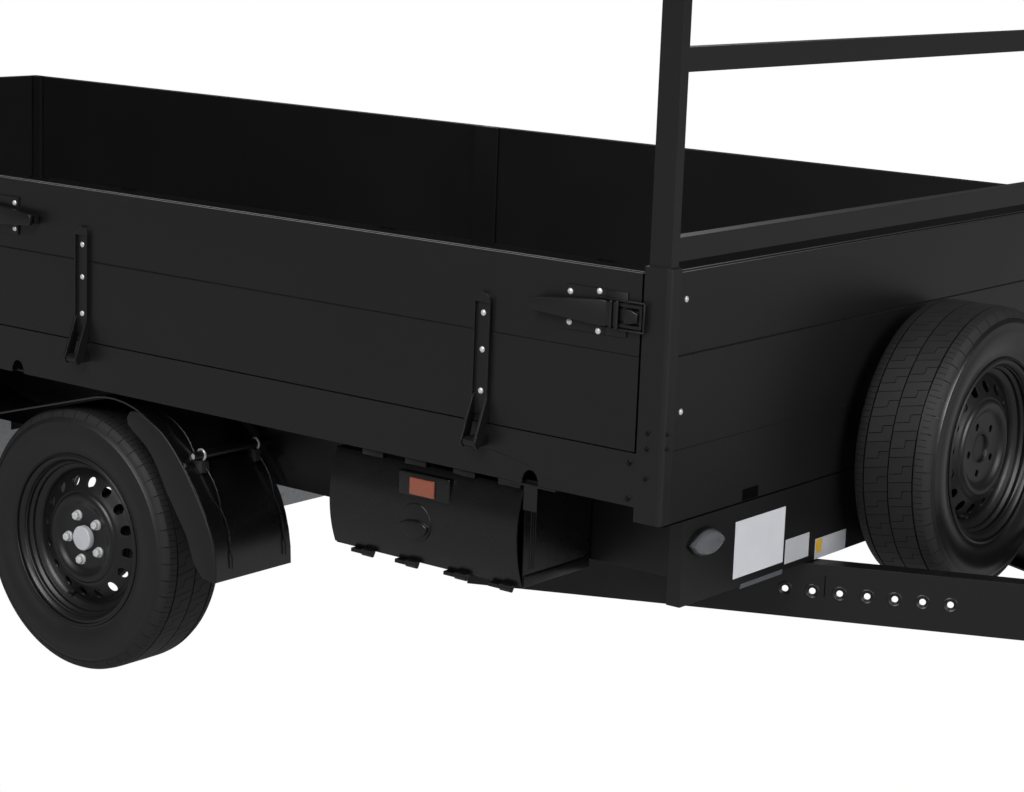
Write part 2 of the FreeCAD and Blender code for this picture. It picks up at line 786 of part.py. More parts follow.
def strap(at, face, out, pivot, across):
    """A pressed channel with a round head, and two ears that hold the pin."""
    half = s.strap_width / 2
    inner = half - s.strap_rib
    shoulder = s.strap_top - half
    skin = face + out * s.strap_depth
    pocket = face + out * s.strap_web
    depth_axis, plane = ("y", "yz") if across == "x" else ("x", "xz")
    foot = (s.strap_foot, shoulder)
    plate = [
        spread(across, (at - half, at + half), (face, skin), foot),
        rod(depth_axis, half, (face, skin), (at, shoulder)),
    ]
    hollow = [spread(across, (at - inner, at + inner), (pocket, skin), foot)]
    nose = ear_nose(pivot, out, s.ear_radius)[1:]
    ear = [(face, s.strap_foot + 45), (skin, s.strap_foot + 35)] + nose + [
        (pivot - out * s.ear_radius, hinge_z - s.ear_radius / 3),
        (face, s.strap_foot),
    ]
    ears = []
    for way in (-1, 1):
        ears.append(prism(plane, ear, (at + way * half, at + way * (half - s.ear_thickness))))
    pin_half = half - 1
    pin = rod(across, s.pin_radius, (at - pin_half, at + pin_half), (pivot, hinge_z), SMALL_SIDES)
    return fuse([cut(fuse(plate), hollow), pin] + ears)


def latch(post, way, face, out, across):
    """An over-centre latch; distances run along the panel from its post."""
    def along(near, far):
        return (post + way * near, post + way * far)

    def depth(low, high):
        return (face + out * low, face + out * high)

    def height(half):
        return (latch_z - half, latch_z + half)

    plane = "xz" if across == "x" else "yz"
    lever = [
        (post + way * s.lever_reach, latch_z - s.lever_tip),
        (post + way * s.lever_reach, latch_z + s.lever_tip),
        (post + way * s.lever_root, latch_z + s.lever_half),
        (post + way * (s.lever_root - 30), latch_z + s.lever_half),
        (post + way * (s.lever_root - 30), latch_z - s.lever_half),
        (post + way * s.lever_root, latch_z - s.lever_half),
    ]
    wire_low = s.lever_half - s.wire
    pieces = [
        spread(across, along(s.lever_root - 8, s.lever_root + 90), depth(0, s.latch_base), height(s.lever_half + 21)),
        prism(plane, lever, depth(s.latch_base, s.latch_base + 12)),
        rod("z", s.latch_drum, height(s.lever_half), {
            "x": (post + way * (s.lever_root - 34), face + out * s.latch_drum),
            "y": (face + out * s.latch_drum, post + way * (s.lever_root - 34)),
        }[across], SMALL_SIDES),
        spread(across, along(3, s.lever_root - 38), depth(0, s.latch_base + 3), height(wire_low - 6)),
        spread(across, along(-s.loop_reach, -s.loop_reach + s.wire), depth(s.latch_base, s.latch_base + s.wire), height(s.lever_half)),
    ]
    for sign in (-1, 1):
        rail = (latch_z + sign * wire_low, latch_z + sign * s.lever_half)
        run = along(-s.loop_reach, s.lever_root - 28)
        pieces.append(spread(across, run, depth(s.latch_base, s.latch_base + s.wire), rail))
    return fuse(pieces)


def side_panel(row, side):
    front_end, rear_end = {
        "front": (-s.post_back, middle_x + s.middle_post_width / 2),
        "rear": (middle_x - s.middle_post_width / 2, rear_post_x),
    }[row]
    outer = side * half_width
    inner = side * (half_width - s.panel_thickness)
    section = plank_section(outer, inner, panel_bottom, s.panel_top)
    where = {RIGHT: "right", LEFT: "left"}[side]
    ends = (front_end - s.end_gap, rear_end + s.end_gap)
    hand_in(prism("yz", section, ends), f"side_panel_{row}_{where}")
    fittings = [strap(x, outer, side, side * hinge_y, "x") for x in strap_places[row]]
    fittings.append(latch(front_end, -1, outer, side, "x"))
    fittings.append(latch(rear_end, 1, outer, side, "x"))
    hand_in(fuse(fittings), f"side_fittings_{row}_{where}")


for side in (RIGHT, LEFT):
    for row in ("front", "rear"):
        side_panel(row, side)

tail_section = plank_section(tail_x, tail_x + s.panel_thickness, panel_bottom, s.panel_top)
tail_half = post_inner - s.end_gap
hand_in(prism("xz", tail_section, (-tail_half, tail_half)), "tailboard")
tail_fittings = []
for side in (RIGHT, LEFT):
    tail_fittings.append(
        strap(side * tail_strap_y, tail_x, -1, tail_x - s.hinge_reach, "y")
    )
    tail_fittings.append(latch(side * post_inner, -side, tail_x, -1, "y"))
hand_in(fuse(tail_fittings), "tailboard_fittings")


# Wheels, hubs and axles

VENTS = 16

def both_halves(half_outline):
    """An outline from the half that lies at positive y."""
    return half_outline + [(radius, -y) for radius, y in reversed(half_outline)]


bead_y = s.rim_width / 2 - 8


def tyre():
    """A road tyre on its rim, bead to bead."""
    half = s.tyre_width / 2
    return turned(both_halves([
        (s.bead_radius, bead_y),
        (s.rim_radius + 10, half - 8),
        (s.rim_radius + 55, half),
        (s.tyre_radius - 14, half - 11),
        (s.tyre_radius, half - 34),
    ]), label="Tyre")


def wheel_disc(side):
    """A pressed steel wheel with a ring of vents; its outer face looks to side."""
    well = s.rim_radius - s.well_depth
    edge = s.rim_width / 2
    barrel = turned([
        (s.rim_radius, edge),
        (s.bead_radius, bead_y),
        (s.bead_radius, -bead_y),
        (s.rim_radius, -edge),
        (s.rim_radius - s.rim_lip, -edge),
        (well, s.well_slope - bead_y),
        (well, bead_y - s.well_slope),
        (s.rim_radius - s.rim_lip, edge),
    ], label="Barrel")
    face = [
        (s.hub_bore / 2, s.disc_offset),
        (s.nave_radius, s.disc_offset),
        (s.ridge_radius, s.disc_offset + s.ridge_rise),
        (well + 3, s.disc_offset - s.disc_dish),
    ]
    # The ridge is pressed in the outer face alone.
    back = [(radius, y - s.disc_sheet) for radius, y in reversed(face[:2] + face[3:])]
    disc = turned([(radius, side * y) for radius, y in face + back], label="Disc")
    depth = (side * (s.disc_offset + 12), side * (s.disc_offset - 40))
    vents = []
    for i in range(VENTS):
        vent = block(
            (-s.vent_width / 2, s.vent_width / 2), depth,
            (s.vent_circle - s.vent_length / 2, s.vent_circle + s.vent_length / 2), "Vent",
        )
        turn = Rotation(Vector(0, 1, 0), 360 * i / VENTS)
        corner = Vector(-s.vent_width.value / 2, 0, (s.vent_circle - s.vent_length / 2).value)
        spot = turn.multVec(corner)
        vent.Placement.Rotation = turn
        place(vent, spot.x, span(depth)[0], spot.z)
        vents.append(vent)
    return cut(fuse([barrel, disc]), vents, "Wheel")


def hub(side):
    """A brake drum with its hub, bored for the spindle."""
    plane = s.disc_offset - s.disc_sheet
    bore_radius = s.spindle_radius + s.spindle_play
    return turned([(radius, side * y) for radius, y in [
        (bore_radius, plane - 55),
        (bore_radius, plane - 6),
        (0, plane - 6),
        (0, plane + 26),
        (s.hub_bore / 2 + 1, plane + 26),
        (s.hub_bore / 2 + 1, plane),
        (s.drum_radius, plane - 10),
        (s.drum_radius, plane - 55),
    ]], BAR_SIDES, "Hub")


for row, hub_x in hubs.items():
    for side, where in ((RIGHT, "right"), (LEFT, "left")):
        spot = (hub_x, side * wheel_y, s.tyre_radius)
        hand_in(tyre(), f"tyre_{row}_{where}", *spot)
        hand_in(fuse([wheel_disc(side), hub(side)]), f"wheel_{row}_{where}", *spot)

tube_half = s.axle_tube / 2
arm_outer = half_width - s.arm_inset
arm_inner = arm_outer - s.arm_thickness


def axle(hub_x):
    """A square torsion tube with a bracket under each chassis member."""
    x = hub_x + s.axle_lead
    low = s.axle_height - tube_half
    high = s.axle_height + tube_half
    wall = s.axle_wall
    tube = cut(
        block((x - tube_half, x + tube_half), (-arm_inner, arm_inner), (low, high)),
        [block(
            (x - tube_half + wall, x + tube_half - wall),
            (-arm_inner - 1, arm_inner + 1),
            (low + wall, high - wall),
        )],
    )
    pieces = [tube]
    for side in (RIGHT, LEFT):
        seat = (side * half_spread, side * (half_spread - s.member_flange))
        bracket = block((x - tube_half - 14, x + tube_half + 14), seat, (low + 30, s.member_bottom))
        bay = block((x - tube_half, x + tube_half), seat, (low + 20, high))
        pieces.append(cut(bracket, [bay]))
    return fuse(pieces)


hand_in(fuse([axle(x) for x in hubs.values()]), "axle_tubes")


def trailing_arm(hub_x, side):
    """The swing arm and spindle at an axle's end."""
    ends = (side * arm_outer, side * arm_inner)
    tube_x = hub_x + s.axle_lead
    tilt = math.atan2((s.axle_height - s.tyre_radius).value, s.axle_lead.value)
    along = Vector(math.cos(tilt), 0, math.sin(tilt))
    across = Vector(-along.z, 0, along.x)
    tip_high = along + across / 2
    tip_low = along - across / 2
    tip_corners = [across * TIP_HALF * way - along * TIP_REACH for way in (-1, 1)]
    corners = [
        (hub_x + s.arm_end * corner.x, s.tyre_radius + s.arm_end * corner.z)
        for corner in [-across] + tip_corners + [across]
    ] + [
        (tube_x + s.arm_root * across.x, s.axle_height + s.arm_root * across.z),
        (tube_x + s.arm_root * tip_high.x, s.axle_height + s.arm_root * tip_high.z),
        (tube_x + s.arm_root * tip_low.x, s.axle_height + s.arm_root * tip_low.z),
        (tube_x - s.arm_root * across.x, s.axle_height - s.arm_root * across.z),
    ]
    spindle_tip = wheel_y + s.disc_offset - s.disc_sheet - 12
    spot = (hub_x, s.tyre_radius)
    return [
        prism("xz", corners, ends),
        round_tip("y", s.arm_end, ends, spot, -along),
        rod("y", s.spindle_radius, (side * arm_inner, side * spindle_tip), spot),
    ]


arms = []
for hub_x in hubs.values():
    for side in (RIGHT, LEFT):
        arms.append(fuse(trailing_arm(hub_x, side)))
hand_in(fuse(arms), "trailing_arms")


# Mudguards and their stays

# The mudguard's side view over the front wheel, as x and z from the hub.
GUARD_FRONT = [
    (475, -8), (467, 68), (440, 147), (357, 258), (240, 344), (165, 366), (80, 362),
]
GUARD_FLAT = math.radians(8)


def guard_view():
    """The side view round both wheels in flats, as x and z from the front hub."""
    half = s.axle_spacing.value / 2
    dip = [(-half + 60, 247), (-half, 238), (-half - 60, 247)]
    rear = [(-2 * half - x, z) for x, z in reversed(GUARD_FRONT)]
    corners = [Vector(x, 0, z) for x, z in GUARD_FRONT + dip + rear]
    path = corners[:1]
    # Arcs through three corners each, with a straight run down into the dip and out of it.
    for first in (0, 2, 4, 7, 10, 12, 14):
        if first in (7, 10):
            path.append(corners[first])
        arc = Part.Arc(*corners[first:first + 3]).toShape()
        flats = math.ceil((arc.LastParameter - arc.FirstParameter) / GUARD_FLAT)
        path += arc.discretize(flats + 1)[1:]
    return path


def moved_in(path, depth):
    """An open path moved square to its flats, towards the wheels."""
    normals = []
    for start, end in zip(path, path[1:]):
        run = (end - start).normalize()
        normals.append(Vector(run.z, 0, -run.x))
    inside = []
    for point, before, after in zip(path, normals[:1] + normals, normals + normals[-1:]):
        way = (before + after).normalize()
        inside.append(point - way * (depth / way.dot(before)))
    return inside


guard_path = guard_view()


def mudguard(side):
    """A strip that follows the side view, with the wheels' room under it."""
    outline = guard_path + moved_in(guard_path, s.guard_wall.value)[::-1]
    corners = [(point.x - s.front_hub_back, point.z + s.tyre_radius) for point in outline]
    outer = half_width - s.guard_inset
    return prism("xz", corners, (side * outer, side * (outer - s.guard_width)))


hand_in(mudguard(RIGHT), "mudguard_right")
hand_in(mudguard(LEFT), "mudguard_left")


def clamp_saddle():
    """Side view of the clamp round a front stay, seated on the mudguard."""
    stay = Vector(s.stay_lead.value, 0, (s.stay_height - s.tyre_radius).value)
    near = Part.Vertex(stay).distToShape(Part.makePolygon(guard_path))[1][0][1]
    out = (stay - near).normalize()
    along = Vector(out.z, 0, -out.x)
    half = s.clamp_width.value / 2
    cap = s.clamp_radius.value
    seat = near + out * s.seat_gap.value
    return [
        seat - along * half, seat + along * half,
        stay + along * cap, stay + along * half + out * cap,
        stay - along * half + out * cap, stay - along * cap,
    ]


guard_middle = -s.front_hub_back - s.axle_spacing / 2


def guard_stay(end, side):
    """A tube from the chassis member and two clamps that carry a mudguard's end."""
    outer = side * (half_width - s.guard_inset - 20)
    inner = side * half_spread
    lead = s.axle_spacing / 2 + s.stay_lead
    spot = (guard_middle + end * lead, s.stay_height)
    saddle = [
        (guard_middle + end * (s.axle_spacing / 2 + corner.x), s.tyre_radius + corner.z)
        for corner in clamp_saddle()
    ]
    pieces = [
        rod("y", s.stay_radius, (outer, inner), spot, SMALL_SIDES),
        rod("y", s.stay_radius + 12, (inner, inner + side * 6), spot, SMALL_SIDES),
    ]
    for inset in (s.guard_inset + 50, s.guard_inset + s.guard_width - 24):
        middle = side * (half_width - inset)
        ends = (middle - s.clamp_width / 2, middle + s.clamp_width / 2)
        pieces.append(prism("xz", saddle, ends))
    return fuse(pieces)


stays = [guard_stay(end, side) for end in (1, -1) for side in (RIGHT, LEFT)]
hand_in(fuse(stays), "mudguard_stays")


# Toolbox under the right-hand rail

box_x = (-s.box_rear, -s.box_front)
box_face = -(half_width - s.box_inset)
box_back = box_face + s.box_depth
body_face = box_face + s.lid_depth
lid_pin_y = box_face + 3
lid_pin_z = s.box_bottom - s.lid_knuckle + 1
knuckle_places = [-776, -652, -518, -398]
shell_outer = block(box_x, (body_face, box_back), (s.box_bottom, s.box_top))
shell_inner = block(
    (-s.box_rear + s.box_wall, -s.box_front - s.box_wall),
    (body_face - 1, box_back - s.box_wall),
    (s.box_bottom + s.box_wall, s.box_top - s.box_wall),
)
fixings = []
for x in (-s.box_rear + 50, -s.box_front - 50):
    y = -half_width + s.hanger_inset
    fixings.append(block((x - 7, x + 7), (y, y + 4), (s.box_top, board_z[0])))
    fixings.append(block((x - 20, x + 20), (y, y + 34), (board_z[0] - 4, board_z[0])))
    fixings.append(block((x - 20, x + 20), (y, y + 34), (s.box_top, s.box_top + 4)))
    fixings.append(block((x - 20, x + 20), (box_back, -half_spread), (s.box_top - 60, s.box_top - 20)))
for x in knuckle_places:
    ends = (x - s.knuckle_half, x)
    fixings.append(block(ends, (lid_pin_y - 3, body_face + 10), (lid_pin_z - 3, s.box_bottom)))
    pin = (x - s.knuckle_half, x + s.knuckle_half + 1)
    fixings.append(rod("x", s.lid_pin, pin, (lid_pin_y, lid_pin_z), SMALL_SIDES))
hand_in(cut(shell_outer, [shell_inner]), "toolbox_body")
hand_in(fuse(fixings), "toolbox_brackets")


def lid_shell():
    """A crowned lid, bowed outwards from its lower to its upper edge."""
    low = (lid_pin_z + s.lid_lift).value
    high = s.box_top.value
    wall = s.box_wall.value
    near = (body_face - s.lid_gap).value - wall
    crown = near - s.lid_bulge.value
    middle = (low + high) / 2
    x = -s.box_rear.value
    outside = [Vector(x, near, low), Vector(x, crown, middle), Vector(x, near, high)]
    inside = [point + Vector(0, wall, 0) for point in outside]
    edges = [
        Part.Arc(*outside).toShape(),
        Part.LineSegment(outside[2], inside[2]).toShape(),
        Part.Arc(*inside).toShape(),
        Part.LineSegment(inside[0], outside[0]).toShape(),
    ]
    face = Part.Face(Part.Wire(Part.__sortEdges__(edges)))
    return face.extrude(Vector((s.box_rear - s.box_front).value, 0, 0))


def lid_knuckle(x):
    """An ear that carries the lid on a hinge pin."""
    ends = (x + s.lug_gap, x + s.knuckle_half)
    half = s.lid_knuckle * TIP_HALF
    chord = lid_pin_z - s.lid_knuckle * TIP_REACH
    eye = [
        (lid_pin_y - s.lid_knuckle, lid_pin_z),
        (lid_pin_y - half, chord),
        (lid_pin_y + half, chord),
        (lid_pin_y + s.lid_knuckle, lid_pin_z),
        (body_face - s.lid_gap, lid_pin_z + s.lid_lift),
        (lid_pin_y - s.lid_knuckle, lid_pin_z + s.lid_lift),
    ]
    centre = (lid_pin_y, lid_pin_z)
    tip = round_tip("x", s.lid_knuckle, ends, centre, Vector(0, 0, -1))
    hole = bore("x", s.lid_pin + s.pin_play, ends, centre, SMALL_SIDES)
    return cut(fuse([prism("yz", eye, ends), tip]), [hole])


lid = doc.addObject("Part::Feature", "LidShell")
lid.Shape = lid_shell()
hand_in(fuse([lid] + [lid_knuckle(x) for x in knuckle_places]), "toolbox_lid")


# Lamps on the end plates

def lamp(face, out, side):
    """An almond-shaped lens on a flat base, pointed at both ends."""
    y = (side * (half_width - s.lamp_inset)).value
    z = s.lamp_height.value
    half = s.lamp_width.value / 2
    tall = s.lamp_tall.value / 2
    tips = [Vector(face, y - half, z), Vector(face, y + half, z)]
    edges = [Part.Arc(tips[0], Vector(face, y, z + way * tall), tips[1]).toShape() for way in (1, -1)]
    outline = Part.Face(Part.Wire(Part.__sortEdges__(edges)))
    return outline.extrude(Vector(out * 24, 0, 0))


lamps = [lamp(0, 1, side) for side in (RIGHT, LEFT)]
tail_face = tail_plate_x.value
for side in (RIGHT, LEFT):
    y = (side * (half_width - s.lamp_inset)).value
    corner = Vector(tail_face - 30, y - 100, s.lamp_height.value - 50)
    lamps.append(Part.makeBox(30, 200, 80, corner))
feature("lamps", Part.makeCompound(lamps))


# Drawbar fittings

coupling_z = s.coupling_height
# The housing's rear end lies between the beams' webs and flanges.
wedge_back = beam_line(s.overrun_rear, s.beam_wall + s.seat_gap)
wedge_front = beam_line(s.beam_front, s.beam_wall + s.seat_gap)
wedge_nose = s.beam_front + 20
wedge = prism("xy", [
    (s.overrun_rear, -wedge_back),
    (s.beam_front, -wedge_front),
    (wedge_nose, -wedge_front),
    (wedge_nose, wedge_front),
    (s.beam_front, wedge_front),
    (s.overrun_rear, wedge_back),
], (beam_bottom + s.beam_wall + s.seat_gap, s.member_bottom - s.beam_wall - s.seat_gap))
housing_top = coupling_z + 40
housing = block(
    (s.beam_front + 2, s.overrun_front), (-s.overrun_half, s.overrun_half),
    (coupling_z - 52, housing_top),
)
sleeve = rod("x", s.shaft_radius + 14, (s.overrun_front, s.overrun_front + 40), (0, coupling_z))
hand_in(fuse([wedge, housing, sleeve]), "overrun_housing")

gaiter_x = (s.overrun_front + 40, s.coupling_reach - 130)
hand_in(rod("x", s.shaft_radius + 16, gaiter_x, (0, coupling_z)), "overrun_gaiter")

head_back = s.coupling_reach - 130
head_body = rod(
    "x", s.shaft_radius + 10, (head_back, s.coupling_reach - 30), (0, coupling_z), SMALL_SIDES
)
head_cap = rod("z", s.head_length / 2 - 5, (coupling_z - 30, coupling_z + 42), (s.coupling_reach, 0))
nose = block(
    (s.coupling_reach, coupling_front), (-22, 22), (coupling_z - 30, coupling_z + 10)
)
socket = rod("z", s.ball_radius, (coupling_z - 31, coupling_z + 20), (s.coupling_reach, 0), ROUND)
hand_in(cut(fuse([head_body, head_cap, nose]), [socket]), "coupling_head")

lever_x = s.overrun_front - 120
lever_low = block((lever_x, lever_x + 36), (40, 52), (housing_top, coupling_z + 180))
lever_grip = rod("z", 14, (coupling_z + 180, coupling_z + 330), (lever_x + 18, 46))
hand_in(fuse([lever_low, lever_grip]), "handbrake_lever")

# Spare wheel on the front panel
spare_x = s.spare_gap + s.tyre_width / 2
spare_tyre = tyre()
spare_tyre.Placement = Placement(Vector(), Rotation(Vector(0, 0, 1), -90))
hand_in(spare_tyre, "spare_tyre", spare_x, 0, s.spare_height)
spare_wheel = wheel_disc(LEFT)
spare_wheel.Placement = Placement(Vector(), Rotation(Vector(0, 0, 1), -90))
hand_in(spare_wheel, "spare_wheel", spare_x, 0, s.spare_height)
disc_x = spare_x + s.disc_offset - s.disc_sheet
carrier = fuse([
    block((0, 6), (-60, 60), (s.spare_height - 70, s.spare_height + 70)),
    rod("x", 22, (0, disc_x), (0, s.spare_height)),
    rod("x", 60, (disc_x - 8, disc_x), (0, s.spare_height)),
])
hand_in(carrier, "spare_carrier")

# Jockey wheel, lowered as the trailer parks
jockey_x = s.jockey_reach
tube_bottom = s.jockey_pivot + 38 + s.jockey_travel + 5
clamp_half = s.beam_offset - s.jockey_reach * beam_slope - 2
tube = cut(
    fuse([
        rod("z", s.jockey_tube, (tube_bottom, 860), (jockey_x, 0)),
        block((jockey_x - 45, jockey_x + 45), (-clamp_half, clamp_half),
              (s.member_bottom, s.member_bottom + 6)),
        block((jockey_x - 20, jockey_x + 20), (-clamp_half, clamp_half),
              (s.member_bottom + 6, s.member_bottom + 30)),
    ]),
    [bore("z", s.jockey_inner + s.jockey_play, (tube_bottom - 1, 850), (jockey_x, 0))],
)
crank = fuse([
    rod("z", 10, (860, 900), (jockey_x, 0), SMALL_SIDES),
    block((jockey_x - 8, jockey_x + 8), (0, 110), (890, 900)),
    rod("z", 12, (900, 1000), (jockey_x, 104), SMALL_SIDES),
])
hand_in(fuse([tube, crank]), "jockey_tube")

pivot_z = s.jockey_pivot
slider = fuse([
    rod("z", s.jockey_inner, (pivot_z + 38, 700), (jockey_x, 0)),
    block((jockey_x - 24, jockey_x + 24), (-24, 24), (pivot_z + 26, pivot_z + 38)),
    block((jockey_x - 22, jockey_x + 22), (-24, -18), (pivot_z - 16, pivot_z + 38)),
    block((jockey_x - 22, jockey_x + 22), (18, 24), (pivot_z - 16, pivot_z + 38)),
    rod("y", 6, (-24, 24), (jockey_x, pivot_z), SMALL_SIDES),
])
hand_in(slider, "jockey_slider")

wheel_x = jockey_x + s.jockey_lead
fork_half = s.jockey_width / 2 + 6
bridge_z = 2 * s.jockey_radius + 12
stem = (16, 10)
tine = (20, 20)


def fork_tip(half, ends, centre, toward):
    """The round end of a fork's piece, from corner to corner round a pin."""
    angle = 2 * math.degrees(math.atan2(half[0], half[1]))
    return round_tip("y", math.hypot(*half), ends, centre, toward, angle)


fork_pieces = [
    block((jockey_x - stem[0], jockey_x + stem[0]), (-17, 17), (bridge_z, pivot_z + stem[1])),
    fork_tip(stem, (-17, 17), (jockey_x, pivot_z), Vector(0, 0, 1)),
    block((wheel_x - 22, wheel_x + 22), (-fork_half - 4, fork_half + 4), (bridge_z, bridge_z + 8)),
    rod("y", 10, (-fork_half - 4, fork_half + 4), (wheel_x, s.jockey_radius)),
]
for side in (RIGHT, LEFT):
    ends = (side * fork_half, side * (fork_half + 4))
    tine_z = (s.jockey_radius - tine[1], bridge_z)
    fork_pieces.append(block((wheel_x - tine[0], wheel_x + tine[0]), ends, tine_z))
    centre = (wheel_x, s.jockey_radius)
    fork_pieces.append(fork_tip(tine, ends, centre, Vector(0, 0, -1)))
fold_bore = bore("y", 6 + s.pin_play, (-30, 30), (jockey_x, pivot_z), SMALL_SIDES)
fork = cut(fuse(fork_pieces), [fold_bore])
hand_in(fork, "jockey_fork")

bore_radius = 10 + s.pin_play
roller = turned([
    (bore_radius, -s.jockey_width / 2),
    (s.jockey_radius - 4, -s.jockey_width / 2),
    (s.jockey_radius, -s.jockey_width / 2 + 8),
    (s.jockey_radius, s.jockey_width / 2 - 8),
    (s.jockey_radius - 4, s.jockey_width / 2),
    (bore_radius, s.jockey_width / 2),
], BAR_SIDES, "Roller")
hand_in(roller, "jockey_wheel", wheel_x, 0, s.jockey_radius)


def failed(thing):
    return "Invalid" in thing.State or "Error" in thing.State


doc.recompute()
faults = [thing.Label for thing in doc.Objects if failed(thing)]
for part in nodes:
    if part.Shape.isNull() or not part.Shape.isValid():
        faults.append(part.Label + " shape")
if faults:
    raise SystemExit("faulty objects: " + ", ".join(faults))

os.makedirs("parts", exist_ok=True)
whole = FreeCAD.BoundBox()
for part in nodes:
    part.Shape.exportStep(f"parts/{part.Label}.step")
    whole.add(part.Shape.BoundBox)
print("nodes", len(nodes))
print("box", [round(value, 2) for value in (
    whole.XMin, whole.XMax, whole.YMin, whole.YMax, whole.ZMin, whole.ZMax)])
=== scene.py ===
import math

import bpy
from mathutils import Matrix, Vector


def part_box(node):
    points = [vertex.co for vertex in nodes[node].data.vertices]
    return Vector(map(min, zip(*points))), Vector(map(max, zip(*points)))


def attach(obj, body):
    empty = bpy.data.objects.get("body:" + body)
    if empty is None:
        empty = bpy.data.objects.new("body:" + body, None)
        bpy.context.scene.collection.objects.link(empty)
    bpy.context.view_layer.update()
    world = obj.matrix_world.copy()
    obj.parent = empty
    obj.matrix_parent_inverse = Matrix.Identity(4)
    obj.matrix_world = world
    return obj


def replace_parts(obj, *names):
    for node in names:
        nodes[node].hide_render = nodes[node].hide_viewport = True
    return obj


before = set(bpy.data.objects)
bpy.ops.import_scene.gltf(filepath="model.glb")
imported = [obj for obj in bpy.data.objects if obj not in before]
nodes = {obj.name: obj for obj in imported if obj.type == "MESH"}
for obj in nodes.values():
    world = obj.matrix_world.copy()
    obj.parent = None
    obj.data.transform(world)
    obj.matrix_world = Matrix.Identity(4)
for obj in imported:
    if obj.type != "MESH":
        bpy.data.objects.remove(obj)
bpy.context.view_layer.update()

MM = 0.001
# Points closer than this are one point.
MERGE = 0.01 * MM
# The front panel's outer face and the bed's half width, which the details hang on.
FRONT_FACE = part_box("front_panel")[1].x
HALF_WIDTH = -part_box("corner_posts")[0].y
SIDES = {"right": -1, "left": 1}


# Colours and nodes

def linear(code, alpha=1.0):
    """An sRGB hex colour as linear red, green, blue and alpha."""
    parts = [int(code[i:i + 2], 16) / 255 for i in (1, 3, 5)]
    straight = [c / 12.92 if c <= 0.04045 else ((c + 0.055) / 1.055) ** 2.4 for c in parts]
    return (*straight, alpha)


def plug_in(tree, node, links):
    """Give each of a node's sockets a value or another node's socket."""
    for socket, value in links.items():
        if isinstance(value, bpy.types.NodeSocket):
            tree.links.new(value, node.inputs[socket])
        else:
            node.inputs[socket].default_value = value


def add(tree, kind, links=None, **settings):
    """A node with its settings and its sockets' values or links."""
    node = tree.nodes.new(kind)
    for name, value in settings.items():
        setattr(node, name, value)
    plug_in(tree, node, links or {})
    return node


def start_material(name):
    """An empty material, its node tree and its object coordinates."""
    made = bpy.data.materials.new(name)
    made.use_nodes = True
    tree = made.node_tree
    return made, tree, add(tree, "ShaderNodeTexCoord").outputs["Object"]


def finish_material(made, **sockets):
    """Give the sockets of the material's one shader their values or links."""
    tree = made.node_tree
    links = {name.replace("_", " "): value for name, value in sockets.items()}
    plug_in(tree, tree.nodes["Principled BSDF"], links)
    return made


def per_mm(size):
    """Texture scale in object metres for a feature of this many millimetres."""
    return 1 / (size * MM)


def noise(tree, place, size, detail=2.0):
    """Cloudy noise whose largest cells have this size in mm."""
    links = {"Vector": place, "Scale": per_mm(size), "Detail": detail}
    return add(tree, "ShaderNodeTexNoise", links).outputs["Fac"]


def spread(tree, value, low, high):
    """A value between 0 and 1 spread from low to high."""
    links = {"Value": value, "To Min": low, "To Max": high}
    return add(tree, "ShaderNodeMapRange", links).outputs["Result"]


def blend(tree, value, first, second):
    """A colour between two sRGB hex colours."""
    links = {"Factor": value, 6: linear(first), 7: linear(second)}
    return add(tree, "ShaderNodeMix", links, data_type="RGBA").outputs[2]


def relief(tree, height, strength, depth, edge=0.0):
    """A normal with relief of a depth in mm, its mesh's edges rounded by edge in mm."""
    links = {"Height": height, "Strength": strength, "Distance": depth * MM}
    if edge:
        rounded = add(tree, "ShaderNodeBevel", {"Radius": edge * MM}, samples=4)
        links["Normal"] = rounded.outputs["Normal"]
    return add(tree, "ShaderNodeBump", links).outputs["Normal"]


# Materials

def polyester_powder_coat():
    """Baked powder on sheet steel: satin, with a fine orange peel and soft edges."""
    made, tree, place = start_material("polyester_powder_coat")
    # The peel's real grain is near 0.4 mm; it is drawn at 2.5 mm so that it shows.
    peel = noise(tree, place, 2.5)
    cloud = noise(tree, place, 220, 4.0)
    return finish_material(
        made, IOR=1.5, Base_Color=blend(tree, cloud, "#080809", "#0B0B0C"),
        Roughness=spread(tree, cloud, 0.35, 0.46), Normal=relief(tree, peel, 0.06, 0.3, 1.2),
    )


def coated_aluminium_plank():
    """Extruded planks, powder coated: faint lines run along the extrusion."""
    made, tree, place = start_material("coated_aluminium_plank")
    # Die lines are about 3 mm apart and metres long; a cell of noise 6 mm high holds two.
    along = add(tree, "ShaderNodeMapping", {"Vector": place, "Scale": (0.4, 0.4, per_mm(6))})
    lines = noise(tree, along.outputs["Vector"], 1000)
    cloud = noise(tree, place, 300, 5.0)
    return finish_material(
        made, IOR=1.5, Base_Color=linear("#080808"),
        Roughness=spread(tree, cloud, 0.36, 0.48), Normal=relief(tree, lines, 0.10, 0.4, 1.0),
    )


def hot_dip_galvanised_steel():
    """Zinc from the bath: pale grey with a spangle of crystals about 12 mm wide."""
    made, tree, place = start_material("hot_dip_galvanised_steel")
    crystals = add(tree, "ShaderNodeTexVoronoi", {"Vector": place, "Scale": per_mm(12)})
    spangle = crystals.outputs["Color"]
    grey = add(tree, "ShaderNodeValToRGB", {"Fac": spangle})
    grey.color_ramp.elements[0].color = linear("#9EA2A5")
    grey.color_ramp.elements[1].color = linear("#C3C6C8")
    return finish_material(
        made, Metallic=1.0, Base_Color=grey.outputs["Color"],
        Roughness=spread(tree, spangle, 0.34, 0.52),
    )


